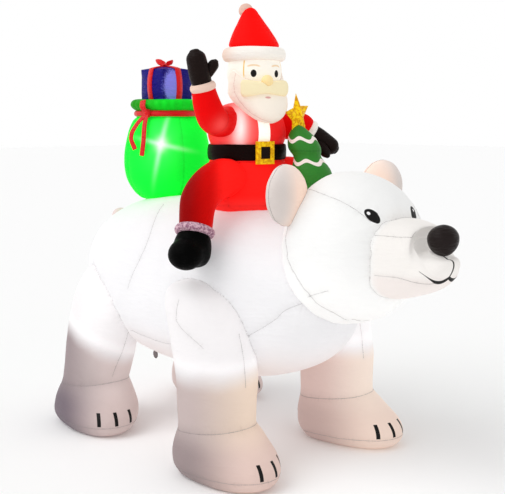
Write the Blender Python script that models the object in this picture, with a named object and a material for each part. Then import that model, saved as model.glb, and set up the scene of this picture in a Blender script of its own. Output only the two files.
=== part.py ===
"""Inflatable garden figure: a waving Father Christmas rides a white bear, with a gift sack behind
him and a small tree at his side.

Metres, +Z up. The bear faces +X and its left side is +Y. Every sewn bag of the inflatable is one
closed solid. Neighbours are cut to each other with a small clearance.
"""

import math

import bmesh
import bpy
from mathutils import Matrix, Vector

# The room between neighbours, and how deep a bag is let into the one that carries it
SEAM_GAP = 0.0004
BURIED = 0.02

# The bear's barrel. Its paws stand on the floor at Z 0.
BODY_LENGTH = 1.605
BODY_WIDTH = 0.84
BODY_HEIGHT = 0.795
BELLY_Z = 0.33
CHEST_X = 0.34

# The bear's legs and paws
FRONT_LEG_X = -0.042
FRONT_LEG_STAGGER = 0.018
REAR_LEG_X = -1.0
LEG_SPREAD = 0.372
LEG_RADIUS = 0.172
FRONT_LEG_HEIGHT = 0.83
REAR_LEG_HEIGHT = 0.83
PAW_LENGTH = 0.49
PAW_HEIGHT = 0.23
FRONT_LEG_TOP_LEAN = 0.147
REAR_LEG_TOP_LEAN = 0.06
REAR_LEG_TOP_TUCK = 0.07
REAR_HEEL_CUT = 0.75
REAR_THIGH_REACH = 0.06
FRONT_PAW_SPLAY = math.radians(4)
REAR_PAW_SPLAY = math.radians(14)

# The bear's head
HEAD_RADIUS = 0.31
HEAD_REACH = 0.025
MUZZLE_REACH = 0.155
MUZZLE_WIDTH = 0.32
MUZZLE_HEIGHT = 0.30
NOSE_WIDTH = 0.118
EAR_DIAMETER = 0.25
EAR_THICKNESS = 0.10
TAIL_DIAMETER = 0.10

# The rider, who sits on the back and turns a little to his right
RIDER_HEIGHT = 0.90
RIDER_X = -0.25
RIDER_TURN = math.radians(-15)
BOOT_LENGTH = 0.16

# The gift sack and the parcel in its mouth
SACK_X = -0.835
SACK_RADIUS = 0.205
SACK_HEIGHT = 0.41
SACK_NECK_RADIUS = 0.150
SACK_BAND_HEIGHT = 0.028
COLLAR_HEIGHT = 0.055
PARCEL_SIDE = 0.175
PARCEL_HEIGHT = 0.165
PARCEL_RIBBON_WIDTH = 0.034
RIBBON_THICKNESS = 0.004
SACK_BOW_TURN = math.radians(-73)
SACK_BOW_LONG_TAIL = 0.20
SACK_BOW_SHORT_TAIL = 0.17
SACK_BOW_SPREAD = 0.055
SACK_BOW_DEPTH = 0.012

# The little tree
TREE_X = 0.08
TREE_Y = 0.185
TREE_RADIUS = 0.084
TREE_HEIGHT = 0.445
TREE_LEAN = (-0.28, -0.16)
STAR_RADIUS = 0.10
STAR_THICKNESS = 0.05
STAR_ROLL = math.radians(-17)

ZIP_TAB_LENGTH = 0.045
ZIP_TAB_WIDTH = 0.014
ZIP_TAB_THICKNESS = 0.004

LEFT = 1
RIGHT = -1
SIDE_NAMES = {RIGHT: "right", LEFT: "left"}

WHITE_CLOTH = (0.93, 0.92, 0.91)
CREAM_CLOTH = (0.94, 0.86, 0.78)
RED_CLOTH = (0.78, 0.02, 0.02)
BLACK_CLOTH = (0.02, 0.017, 0.016)
GOLD_CLOTH = (0.80, 0.55, 0.05)
SACK_GREEN = (0.02, 0.75, 0.10)
TREE_GREEN = (0.015, 0.22, 0.03)
PARCEL_BLUE = (0.05, 0.05, 0.45)
SKIN_CLOTH = (0.96, 0.83, 0.70)


def clear_scene():
    """An empty scene to build in."""
    for item in list(bpy.data.objects):
        bpy.data.objects.remove(item, do_unlink=True)


# Materials


def cloth(name, colour, roughness=0.55):
    """A nylon cloth of one colour."""
    found = bpy.data.materials.get(name)
    if found:
        return found
    made = bpy.data.materials.new(name)
    made.use_nodes = True
    shader = made.node_tree.nodes["Principled BSDF"]
    shader.inputs["Base Color"].default_value = (*colour, 1)
    shader.inputs["Roughness"].default_value = roughness
    shader.inputs["Metallic"].default_value = 0
    return made


# Shape helpers


def superellipse(angle, half_a, half_b, power):
    """A point of a rounded-square outline: power 2 is an ellipse."""
    c = math.cos(angle)
    s = math.sin(angle)
    return (
        half_a * math.copysign(abs(c) ** (2 / power), c),
        half_b * math.copysign(abs(s) ** (2 / power), s),
    )


def catmull(values, t):
    """A smooth curve through evenly spaced values, each a number or a Vector; t runs from 0 to 1."""
    place = t * (len(values) - 1)
    i = min(int(place), len(values) - 2)
    u = place - i
    p1 = values[i]
    p2 = values[i + 1]
    p0 = values[i - 1] if i else p1 * 2 - p2
    p3 = values[i + 2] if i + 2 < len(values) else p2 * 2 - p1
    return (
        p1 * 2
        + (p2 - p0) * u
        + (p0 * 2 - p1 * 5 + p2 * 4 - p3) * u**2
        + (p1 * 3 - p0 - p2 * 3 + p3) * u**3
    ) * 0.5


def faceted(shell):
    """The bmesh in triangles that face outwards, so that a swollen copy folds along the same lines."""
    bmesh.ops.recalc_face_normals(shell, faces=shell.faces)
    bmesh.ops.triangulate(shell, faces=shell.faces)
    return shell


def skin(rings, first_tip=None, last_tip=None):
    """A closed bmesh through rings of points. Each end closes on a tip, or flat where there is none."""
    shell = bmesh.new()
    loops = [[shell.verts.new(p) for p in ring] for ring in rings]
    count = len(loops[0])
    for low, high in zip(loops, loops[1:]):
        for i in range(count):
            j = (i + 1) % count
            shell.faces.new((low[i], low[j], high[j], high[i]))
    for loop, tip in ((loops[0], first_tip), (loops[-1], last_tip)):
        if tip is None:
            shell.faces.new(loop)
            continue
        apex = shell.verts.new(tip)
        for i in range(count):
            shell.faces.new((loop[i], loop[(i + 1) % count], apex))
    return faceted(shell)


def limb(stations, rings, segments, power=2.0, first_tip=False, last_tip=False, wide_way=None):
    """A bent tube through stations of (centre, half-width, half-depth), with rounded or flat ends.

    The half-width is measured level, or along wide_way, and the half-depth square to it. A rounded
    end closes on its last station's centre.
    """
    centres = [Vector(s[0]) for s in stations]
    widths = [s[1] for s in stations]
    depths = [s[2] for s in stations]
    loops = []
    first = 1 if first_tip else 0
    last = rings - 1 if last_tip else rings
    for k in range(first, last + 1):
        t = k / rings
        centre = catmull(centres, t)
        ahead = catmull(centres, min(1, t + 0.01)) - catmull(centres, max(0, t - 0.01))
        ahead.normalize()
        if wide_way:
            across = wide_way - ahead * ahead.dot(wide_way)
        else:
            across = ahead.cross(Vector((0, 0, 1)))
        if across.length < 0.2:
            across = ahead.cross(Vector((1, 0, 0)))
        across.normalize()
        other = across.cross(ahead)
        loop = []
        for n in range(segments):
            a, b = superellipse(
                math.tau * n / segments, catmull(widths, t), catmull(depths, t), power
            )
            loop.append(centre + across * a + other * b)
        loops.append(loop)
    return skin(
        loops,
        centres[0] if first_tip else None,
        centres[-1] if last_tip else None,
    )


def lathe(profile, segments, centre=(0, 0, 0), depth_share=1.0, lean=(0, 0), power=2.0):
    """A turned bag from (radius, height) points, bottom to top. A radius of 0 closes on a point.

    depth_share squeezes it along X, and lean moves its axis by so much X and Y for each height.
    """
    origin = Vector(centre)

    def on_axis(height):
        return origin + Vector((lean[0] * height, lean[1] * height, height))

    loops = []
    for radius, height in profile:
        if radius > 0:
            loop = []
            for n in range(segments):
                a, b = superellipse(
                    math.tau * n / segments, radius * depth_share, radius, power
                )
                loop.append(on_axis(height) + Vector((a, b, 0)))
            loops.append(loop)
    low = on_axis(profile[0][1]) if profile[0][0] == 0 else None
    high = on_axis(profile[-1][1]) if profile[-1][0] == 0 else None
    return skin(loops, low, high)


def smooth_profile(points, rings):
    """The (radius, height) points as a smooth curve; the ends stay where they are."""
    spots = [Vector((max(r, 0), h)) for r, h in points]
    curve = [catmull(spots, k / rings) for k in range(rings + 1)]
    found = [(max(p.x, 0.001), p.y) for p in curve]
    if points[0][0] == 0:
        found[0] = (0, points[0][1])
    if points[-1][0] == 0:
        found[-1] = (0, points[-1][1])
    return found


def ball(radii, centre, across=20, down=12, turn=None):
    """An ellipsoid with its poles up, turned about its centre."""
    shell = bmesh.new()
    bmesh.ops.create_uvsphere(shell, u_segments=across, v_segments=down, radius=1)
    bmesh.ops.scale(shell, vec=Vector(radii), verts=shell.verts)
    if turn is not None:
        bmesh.ops.transform(shell, matrix=turn, verts=shell.verts)
    bmesh.ops.translate(shell, vec=Vector(centre), verts=shell.verts)
    return faceted(shell)


def slab(sides, centre, turn=None):
    """A plain block."""
    shell = bmesh.new()
    bmesh.ops.create_cube(shell, size=1)
    bmesh.ops.scale(shell, vec=Vector(sides), verts=shell.verts)
    if turn is not None:
        bmesh.ops.transform(shell, matrix=turn, verts=shell.verts)
    bmesh.ops.translate(shell, vec=Vector(centre), verts=shell.verts)
    return faceted(shell)


def moved(shell, matrix):
    """The same bmesh, transformed."""
    bmesh.ops.transform(shell, matrix=matrix, verts=shell.verts)
    return shell


def swollen(shell, by):
    """A copy of the bmesh with its skin moved outwards."""
    copy = shell.copy()
    copy.normal_update()
    shifts = [(v, v.normal.copy()) for v in copy.verts]
    for vert, normal in shifts:
        vert.co += normal * by
    return copy


def helper_object(name, shell):
    """A hidden object that a Boolean reads."""
    data = bpy.data.meshes.new(name)
    shell.to_mesh(data)
    made = bpy.data.objects.new(name, data)
    made.hide_render = True
    made.display_type = "WIRE"
    bpy.context.scene.collection.objects.link(made)
    return made


def boolean(shell, others, operation, solver="EXACT"):
    """The bmesh joined with, cut by or kept within each of the others, in turn."""
    base = helper_object("boolean_base", shell)
    tools = [helper_object("boolean_tool", other) for other in others]
    for tool in tools:
        step = base.modifiers.new("cut", "BOOLEAN")
        step.operation = operation
        step.solver = solver
        step.object = tool
    graph = bpy.context.evaluated_depsgraph_get()
    result = bmesh.new()
    result.from_object(base, graph)
    for item in [base, *tools]:
        bpy.data.objects.remove(item, do_unlink=True)
    return faceted(result)


def joined(first, *others):
    """One skin round all of them."""
    return boolean(first, others, "UNION")


def fitted(shell, *neighbours, gap=SEAM_GAP, solver="EXACT"):
    """The bmesh with room cut in it for its neighbours."""
    return boolean(
        shell, [swollen(other, gap) for other in neighbours], "DIFFERENCE", solver
    )


def place(name, shell, material):
    """The finished piece, as an object that is a node of its own."""
    bmesh.ops.remove_doubles(shell, verts=shell.verts, dist=0.000001)
    data = bpy.data.meshes.new(name)
    shell.to_mesh(data)
    data.materials.append(material)
    data.shade_smooth()
    data.set_sharp_from_angle(angle=math.radians(40))
    made = bpy.data.objects.new(name, data)
    bpy.context.scene.collection.objects.link(made)
    return made


# The bear

BODY_MIDDLE_X = CHEST_X - BODY_LENGTH / 2
BODY_MIDDLE_Z = BELLY_Z + BODY_HEIGHT / 2
BODY_FULLNESS = 2.7
BODY_SECTION_POWER = 2.25


def body_share(x):
    """How much of its full width and height the barrel has at x."""
    t = min(1.0, abs(x - BODY_MIDDLE_X) / (BODY_LENGTH / 2))
    return (1 - t**BODY_FULLNESS) ** (1 / 2.1)


def body_section(x):
    """(centre z, half-width, half-height) of the barrel at x. The rump stands a little higher."""
    share = body_share(x)
    toward_chest = (x - BODY_MIDDLE_X) / (BODY_LENGTH / 2)
    width = BODY_WIDTH / 2 * share * (1 - 0.05 * toward_chest)
    centre = BODY_MIDDLE_Z - BODY_HEIGHT * 0.025 * toward_chest
    return centre, width, BODY_HEIGHT / 2 * share


def back_z(x):
    """The top of the barrel at x."""
    centre, _, height = body_section(x)
    return centre + height


def bear_barrel():
    rings = 12
    segments = 20
    loops = []
    for k in range(1, rings):
        x = BODY_MIDDLE_X - math.cos(math.pi * k / rings) * BODY_LENGTH / 2
        centre, width, height = body_section(x)
        loop = []
        for n in range(segments):
            a, b = superellipse(
                math.tau * n / segments, width, height, BODY_SECTION_POWER
            )
            loop.append((x, a, centre + b))
        loops.append(loop)
    rump = (BODY_MIDDLE_X - BODY_LENGTH / 2, 0, BODY_MIDDLE_Z)
    chest = (BODY_MIDDLE_X + BODY_LENGTH / 2, 0, BODY_MIDDLE_Z)
    return skin(loops, rump, chest)


# Each level of a leg: height as a share of the paw (up to 1) or of the leg above it (from 1 to 2),
# reach to the toes and to the heel as shares of the paw's length, half-width as a share of the
# leg's radius, and the shares of the thigh's extra reach and of the top's lean back.
LEG_SHARES = (
    (0.00, 0.58, 0.25, 0.80, 0, 0),
    (0.06, 0.66, 0.30, 0.93, 0, 0),
    (0.24, 0.72, 0.345, 1.08, 0, 0),
    (0.50, 0.67, 0.355, 1.09, 0, 0),
    (0.78, 0.49, 0.345, 1.00, 0, 0),
    (1.00, 0.355, 0.34, 0.93, 0, 0),
    (1.30, 0.36, 0.355, 0.96, 0.5, 0),
    (1.62, 0.375, 0.365, 0.99, 1, 0.29),
    (1.82, 0.35, 0.345, 0.93, 0.6, 0.62),
    (1.93, 0.25, 0.25, 0.68, 0.2, 0.84),
)


def bear_leg(x, side, height, splay, lean_x, lean_y, thigh, top_lean, heel_cut, top_tuck):
    """A leg bag with its paw, as a stack of level outlines from the flat sole to the round top."""
    segments = 12
    loops = []

    def axis_at(z, back=1):
        rise = z / height
        spread = LEG_SPREAD - lean_y * rise - top_tuck * back
        return Vector((x + lean_x * rise - top_lean * back, side * spread, z))

    for level, toes, heel, half_width, thigh_share, back in LEG_SHARES:
        if level <= 1:
            z = PAW_HEIGHT * level
        else:
            z = PAW_HEIGHT + (height - PAW_HEIGHT) * (level - 1)
        turn = Matrix.Rotation(side * splay * (1 if level <= 1 else 2 - level), 3, "Z")
        loop = []
        for n in range(segments):
            a, b = superellipse(math.tau * n / segments, 1, LEG_RADIUS * half_width, 2.15)
            if a > 0:
                a *= PAW_LENGTH * toes + thigh * thigh_share
            else:
                a *= PAW_LENGTH * heel * (1 - heel_cut * back)
            loop.append(axis_at(z, back) + turn @ Vector((a, b, 0)))
        loops.append(loop)
    return skin(loops, None, axis_at(height))


HEAD_CENTRE = Vector(
    (CHEST_X + HEAD_REACH, 0, BELLY_Z + BODY_HEIGHT * 0.804)
)


HEAD_BACK_SHARE = 0.72
CHIN_SLOPE = 0.28
# The muzzle from inside the head to its front: (share of its length, width and height as shares of
# the full ones, rise as a share of the height).
MUZZLE_LENGTH = HEAD_RADIUS * 0.5 + MUZZLE_REACH
MUZZLE_SHARES = (
    (0.00, 1.12, 1.06, -0.04),
    (0.40, 1.08, 1.06, -0.05),
    (0.66, 0.98, 0.98, -0.05),
    (0.86, 0.84, 0.84, -0.04),
    (0.97, 0.62, 0.64, -0.03),
    (1.00, 0.25, 0.25, -0.01),
)


def bear_head_bag():
    """The round head with the muzzle sewn into it."""
    skull = ball(
        (HEAD_RADIUS, HEAD_RADIUS * 1.02, HEAD_RADIUS), HEAD_CENTRE, 16, 12
    )
    for vert in skull.verts:
        if vert.co.x < HEAD_CENTRE.x:
            vert.co.x = HEAD_CENTRE.x + (vert.co.x - HEAD_CENTRE.x) * HEAD_BACK_SHARE
    stations = []
    for share, width, height, drop in MUZZLE_SHARES:
        stations.append(
            (
                (
                    HEAD_CENTRE.x + HEAD_RADIUS * 0.5 + MUZZLE_LENGTH * share,
                    0,
                    HEAD_CENTRE.z + MUZZLE_HEIGHT * drop,
                ),
                MUZZLE_WIDTH / 2 * width,
                MUZZLE_HEIGHT / 2 * height,
            )
        )
    muzzle = limb(stations, 7, 14, power=2.5)
    for vert in muzzle.verts:
        below = HEAD_CENTRE.z - vert.co.z
        along = (vert.co.x - HEAD_CENTRE.x) / (HEAD_RADIUS + MUZZLE_REACH)
        if below > 0:
            vert.co.x -= below * CHIN_SLOPE * along
    return joined(skull, muzzle)


MUZZLE_TIP_X = HEAD_CENTRE.x + HEAD_RADIUS + MUZZLE_REACH
NOSE_Z = HEAD_CENTRE.z + MUZZLE_HEIGHT * 0.24


def bear_nose_bag():
    """The black nose, wide above and pointed below."""
    shell = ball((NOSE_WIDTH * 0.50, NOSE_WIDTH / 2, NOSE_WIDTH * 0.50), (0, 0, 0), 12, 8)
    for vert in shell.verts:
        taper = 1 + 0.45 * vert.co.z / NOSE_WIDTH
        vert.co.y *= taper
    return moved(
        shell, Matrix.Translation((MUZZLE_TIP_X - NOSE_WIDTH * 0.03, 0, NOSE_Z))
    )


def bear_ear(side):
    """A flat round ear that faces forward and leans out."""
    shell = ball(
        (EAR_THICKNESS / 2, EAR_DIAMETER * 0.47, EAR_DIAMETER / 2), (0, 0, 0), 14, 8
    )
    turn = Matrix.Rotation(side * math.radians(-30), 4, "X")
    yaw = Matrix.Rotation(side * math.radians(-8), 4, "Z")
    centre = HEAD_CENTRE + Vector(
        (-HEAD_RADIUS * 0.24, side * HEAD_RADIUS * 0.92, HEAD_RADIUS * 0.72)
    )
    return moved(shell, Matrix.Translation(centre) @ yaw @ turn)


def bear_tail():
    x = BODY_MIDDLE_X - BODY_LENGTH / 2 + BODY_LENGTH * 0.02
    z = BODY_MIDDLE_Z + BODY_HEIGHT * 0.30
    return ball(
        (TAIL_DIAMETER * 0.62, TAIL_DIAMETER / 2, TAIL_DIAMETER / 2),
        (x, 0, z),
        10,
        6,
        Matrix.Rotation(math.radians(30), 4, "Y"),
    )


def zip_tab():
    """The little cloth tab that hangs from the belly seam."""
    x = FRONT_LEG_X - BODY_LENGTH * 0.36
    y = RIGHT * BODY_WIDTH * 0.30
    centre, width, height = body_section(x)
    drop = height * (1 - abs(y / width) ** BODY_SECTION_POWER) ** (1 / BODY_SECTION_POWER)
    return slab(
        (ZIP_TAB_WIDTH, ZIP_TAB_THICKNESS, ZIP_TAB_LENGTH),
        (x, y, centre - drop - ZIP_TAB_LENGTH * 0.32),
        Matrix.Rotation(math.radians(35), 4, "Y"),
    )


def build_bear():
    white = cloth("white_cloth", WHITE_CLOTH)
    black = cloth("black_cloth", BLACK_CLOTH, 0.45)
    bags = {"bear_body": bear_barrel()}
    for side, word in SIDE_NAMES.items():
        bags["bear_front_leg_" + word] = bear_leg(
            FRONT_LEG_X + FRONT_LEG_STAGGER * max(side, 0),
            side,
            FRONT_LEG_HEIGHT,
            FRONT_PAW_SPLAY,
            0.0,
            0.02,
            0.0,
            FRONT_LEG_TOP_LEAN,
            0.0,
            0.0,
        )
        bags["bear_rear_leg_" + word] = bear_leg(
            REAR_LEG_X,
            side,
            REAR_LEG_HEIGHT,
            REAR_PAW_SPLAY,
            0.10,
            0.07,
            REAR_THIGH_REACH,
            REAR_LEG_TOP_LEAN,
            REAR_HEEL_CUT,
            REAR_LEG_TOP_TUCK,
        )
        bags["bear_ear_" + word] = bear_ear(side)
    bags["bear_head"] = bear_head_bag()
    bags["bear_nose"] = bear_nose_bag()
    bags["bear_tail"] = bear_tail()
    bags["belly_zip_tab"] = zip_tab()

    place("bear_body", bags["bear_body"].copy(), white)
    for word in SIDE_NAMES.values():
        for end in ("front", "rear"):
            name = f"bear_{end}_leg_{word}"
            place(name, fitted(bags[name], bags["bear_body"]), white)
    head_neighbours = [bags["bear_body"]] + [
        bags["bear_front_leg_" + word] for word in SIDE_NAMES.values()
    ]
    place("bear_head", fitted(bags["bear_head"], *head_neighbours), white)
    for word in SIDE_NAMES.values():
        name = "bear_ear_" + word
        place(name, fitted(bags[name], bags["bear_head"], bags["bear_body"]), white)
    place("bear_nose", fitted(bags["bear_nose"], bags["bear_head"]), black)
    place("bear_tail", fitted(bags["bear_tail"], bags["bear_body"]), white)
    place("belly_zip_tab", fitted(bags["belly_zip_tab"], bags["bear_body"]), black)
    return bags


# The rider

SEAT_Z = back_z(RIDER_X)
RIDER_FRAME = Matrix.Translation((RIDER_X, 0, SEAT_Z)) @ Matrix.Rotation(
    RIDER_TURN, 4, "Z"
)
SADDLE_FRAME = Matrix.Translation((RIDER_X, 0, SEAT_Z))

# The torso's outline as shares of the rider's height: (half-width, height)
HIP_SHARES = ((0.17, -0.05), (0.213, -0.01), (0.225, 0.06), (0.212, 0.14), (0.192, 0.215))
BELT_SHARES = ((0.191, 0.215), (0.199, 0.235), (0.199, 0.268), (0.191, 0.290))
COAT_SHARES = (
    (0.190, 0.290),
    (0.198, 0.34),
    (0.188, 0.40),
    (0.158, 0.455),
    (0.10, 0.49),
    (0, 0.505),
)
TORSO_DEPTH_SHARE = 0.93


def rider_size(share):
    """A share of the rider's height, in metres."""
    return share * RIDER_HEIGHT


def torso_slice(profile, rings, trim=0.0):
    """One level of the torso. trim keeps a seam's room at the flat ends."""
    points = [(rider_size(r), rider_size(h)) for r, h in profile]
    points[0] = (points[0][0], points[0][1] + trim)
    if points[-1][0]:
        points[-1] = (points[-1][0], points[-1][1] - trim)
    return lathe(smooth_profile(points, rings), 14, depth_share=TORSO_DEPTH_SHARE)


def buckle_plate():
    """A rounded square plate, bent round the belly."""
    middle = (BELT_SHARES[0][1] + BELT_SHARES[-1][1]) / 2
    reach = BELT_SHARES[1][0]
    side = rider_size(0.098)
    centre = (rider_size(reach) * TORSO_DEPTH_SHARE, 0, rider_size(middle))
    shell = slab((rider_size(0.10), side, side * 1.12), centre)
    outer = torso_slice(
        ((reach + 0.012, middle - 0.09), (reach + 0.016, middle), (reach + 0.012, middle + 0.09)),
        2,
    )
    return boolean(shell, [outer], "INTERSECT")


def rider_leg_path(side):
    """Hip, knee and ankle over the bear's flank, in the saddle's frame."""
    half = BODY_WIDTH / 2
    return (
        Vector((rider_size(0.04), side * half * 0.20, rider_size(0.125))),
        Vector((rider_size(0.075), side * half * 0.56, rider_size(0.125))),
        Vector((rider_size(0.110), side * half * 0.86, rider_size(0.045))),
        Vector((rider_size(0.140), side * half * 0.97, -rider_size(0.080))),
    )


def rider_leg(side):
    """(leg, boot cuff, boot) in the saddle's frame."""
    path = rider_leg_path(side)
    thick = rider_size(0.090)
    leg = limb(
        [
            (path[0], thick * 1.05, thick * 1.05),
            (path[1], thick * 1.06, thick * 1.04),
            (path[2], thick * 0.97, thick * 0.96),
            (path[3], thick * 0.86, thick * 0.86),
        ],
        6,
        14,
    )
    ahead = (path[3] - path[2]).normalized()
    start = path[3] + ahead * SEAM_GAP
    cuff_long = rider_size(0.042)
    cuff = limb(
        [
            (start, thick * 0.88, thick * 0.88),
            (start + ahead * cuff_long * 0.5, thick * 1.03, thick * 1.03),
            (start + ahead * cuff_long, thick * 0.90, thick * 0.90),
        ],
        2,
        12,
    )
    boot_top = start + ahead * (cuff_long + SEAM_GAP)
    shaft = limb(
        [
            (boot_top, thick * 0.88, thick * 0.88),
            (boot_top + ahead * BOOT_LENGTH * 0.25, thick * 0.96, thick * 0.98),
            (boot_top + ahead * BOOT_LENGTH * 0.50, thick * 0.98, thick * 1.0),
            (boot_top + ahead * BOOT_LENGTH * 0.72, thick * 0.80, thick * 0.80),
            (boot_top + ahead * BOOT_LENGTH * 0.82, thick * 0.25, thick * 0.25),
        ],
        6,
        14,
    )
    toe_centre = (
        boot_top
        + ahead * BOOT_LENGTH * 0.46
        + Vector((BOOT_LENGTH * 0.14, side * BOOT_LENGTH * 0.30, 0))
    )
    toe = ball(
        (BOOT_LENGTH * 0.48, BOOT_LENGTH * 0.45, BOOT_LENGTH * 0.40), toe_centre, 10, 7
    )
    return leg, cuff, joined(shaft, toe)


# Each arm from inside the shoulder to the wrist, as shares of the rider's height.
RIGHT_ARM_SHARES = (
    Vector((0.01, -0.12, 0.415)),
    Vector((0.05, -0.215, 0.398)),
    Vector((0.06, -0.275, 0.418)),
    Vector((0.06, -0.310, 0.480)),
    Vector((0.06, -0.330, 0.545)),
)
LEFT_ARM_SHARES = (
    Vector((0.02, 0.12, 0.395)),
    Vector((0.05, 0.20, 0.385)),
    Vector((0.078, 0.252, 0.382)),
    Vector((0.098, 0.288, 0.378)),
    Vector((0.112, 0.311, 0.360)),
)


def rider_sleeve(path):
    """The sleeve, its cuff, and where the mitten starts and points."""
    spots = [Vector(p) * RIDER_HEIGHT for p in path]
    thick = rider_size(0.064)
    sleeve = limb(
        [
            (spots[0], thick * 1.0, thick * 1.0),
            (spots[1], thick * 1.10, thick * 1.10),
            (spots[2], thick * 1.14, thick * 1.10),
            (spots[3], thick * 1.04, thick * 1.00),
            (spots[4], thick * 0.88, thick * 0.88),
        ],
        7,
        10,
    )
    ahead = (spots[4] - spots[3]).normalized()
    start = spots[4] + ahead * SEAM_GAP
    long = rider_size(0.036)
    cuff = limb(
        [
            (start, thick * 0.86, thick * 0.86),
            (start + ahead * long * 0.5, thick * 0.96, thick * 0.96),
            (start + ahead * long, thick * 0.82, thick * 0.82),
        ],
        2,
        10,
    )
    return sleeve, cuff, start + ahead * (long + SEAM_GAP), ahead


def mitten(start, ahead, thumb_side):
    """A puffy mitten with its thumb, from the wrist along ahead."""
    length = rider_size(0.155)
    wide = rider_size(0.052)
    thumb_side = thumb_side.normalized()
    hand = limb(
        [
            (start, wide * 0.98, wide * 0.98),
            (start + ahead * length * 0.28, wide * 1.02, wide * 0.98),
            (start + ahead * length * 0.58, wide * 0.98, wide * 0.92),
            (start + ahead * length * 0.84, wide * 0.90, wide * 0.80),
            (start + ahead * length, wide * 0.46, wide * 0.40),
        ],
        5,
        10,
    )
    root = start + ahead * length * 0.18 + thumb_side * wide * 0.35
    run = ahead * length * 0.48 + thumb_side * wide * 1.45
    thumb = limb(
        [
            (root, wide * 0.52, wide * 0.50),
            (root + run * 0.40, wide * 0.56, wide * 0.52),
            (root + run * 0.80, wide * 0.50, wide * 0.46),
            (root + run, wide * 0.20, wide * 0.18),
        ],
        4,
        8,
    )
    return joined(hand, thumb)


TRIM_RISE_SHARE = 0.726
TRIM_HALF_SHARE = 0.035
HAT_X_SHARE = 0.04
HEAD_SIDE_SHARE = 0.018
FACE_X_SHARE = 0.045
FACE_RISE_SHARE = 0.635
HAIR_SET_BACK = 0.45


def rider_face():
    """The head, cut flat where the hat's fur roll sits on it."""
    lid_side = RIDER_HEIGHT
    shell = ball(
        (rider_size(0.135), rider_size(0.136), rider_size(0.160)),
        (rider_size(FACE_X_SHARE), rider_size(HEAD_SIDE_SHARE), rider_size(FACE_RISE_SHARE)),
        14,
        9,
    )
    top = rider_size(TRIM_RISE_SHARE - TRIM_HALF_SHARE) - SEAM_GAP
    lid = slab((lid_side,) * 3, (0, 0, top + lid_side / 2))
    return boolean(shell, [lid], "DIFFERENCE")


def rider_beard():
    """The beard and side hair: one full bag under and round the face."""
    half_height = rider_size(0.148)
    shell = ball((rider_size(0.128), rider_size(0.146), half_height), (0, 0, 0), 12, 9)
    for vert in shell.verts:
        down = -vert.co.z / half_height
        if down > 0:
            vert.co.y *= 1 - 0.10 * down
            vert.co.x += rider_size(0.13) * down
        elif down > -0.99:
            fuller = (1 - down**4) ** 0.25 / (1 - down**2) ** 0.5
            vert.co.y *= fuller
            vert.co.x *= fuller if vert.co.x < 0 else 1 + HAIR_SET_BACK * down
    spot = (rider_size(0.07), rider_size(HEAD_SIDE_SHARE), rider_size(0.541))
    return moved(shell, Matrix.Translation(spot))


def rider_moustache():
    """Two flat wings that widen away from the nose."""
    reach = rider_size(0.118)
    stations = []
    for share, tall, back in (
        (-1.0, 0.026, 0.040),
        (-0.90, 0.040, 0.034),
        (-0.5, 0.036, 0.012),
        (0.0, 0.027, 0.0),
        (0.5, 0.036, 0.012),
        (0.90, 0.040, 0.034),
        (1.0, 0.026, 0.040),
    ):
        stations.append(
            (
                (rider_size(0.200 - back), reach * share, rider_size(0.560)),
                rider_size(0.026),
                rider_size(tall),
            )
        )
    return limb(stations, 8, 8, power=2.4)


def rider_nose():
    return ball(
        (rider_size(0.029),) * 3, (rider_size(0.208), 0, rider_size(0.594)), 10, 6
    )


def rider_trim():
    """The hat's fur roll, a full ring of cloth between the head and the cone."""
    half = rider_size(TRIM_HALF_SHARE)
    radius = rider_size(0.158)
    points = (
        (radius * 0.80, -half),
        (radius * 0.95, -half * 0.75),
        (radius, 0),
        (radius * 0.95, half * 0.75),
        (radius * 0.80, half),
    )
    shell = lathe(points, 16)
    spot = (rider_size(HAT_X_SHARE), rider_size(HEAD_SIDE_SHARE), rider_size(TRIM_RISE_SHARE))
    return moved(shell, Matrix.Translation(spot))


def rider_hat():
    """The cone, which leans back a little."""
    height = rider_size(0.198)
    profile = [
        (0.115, 0.0),
        (0.122, 0.08),
        (0.104, 0.30),
        (0.076, 0.55),
        (0.046, 0.80),
        (0.026, 0.95),
        (0.0, 1.0),
    ]
    points = [(rider_size(r), height * h) for r, h in profile]
    shell = lathe(smooth_profile(points, 7), 16, lean=(-0.24, 0.0))
    base = rider_size(TRIM_RISE_SHARE + TRIM_HALF_SHARE) + SEAM_GAP
    spot = (rider_size(HAT_X_SHARE), rider_size(HEAD_SIDE_SHARE), base)
    return moved(shell, Matrix.Translation(spot))


def rider_pompom():
    return ball(
        (rider_size(0.036),) * 3,
        (rider_size(-0.022), rider_size(HEAD_SIDE_SHARE - 0.012), rider_size(0.943)),
        10,
        6,
    )


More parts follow.
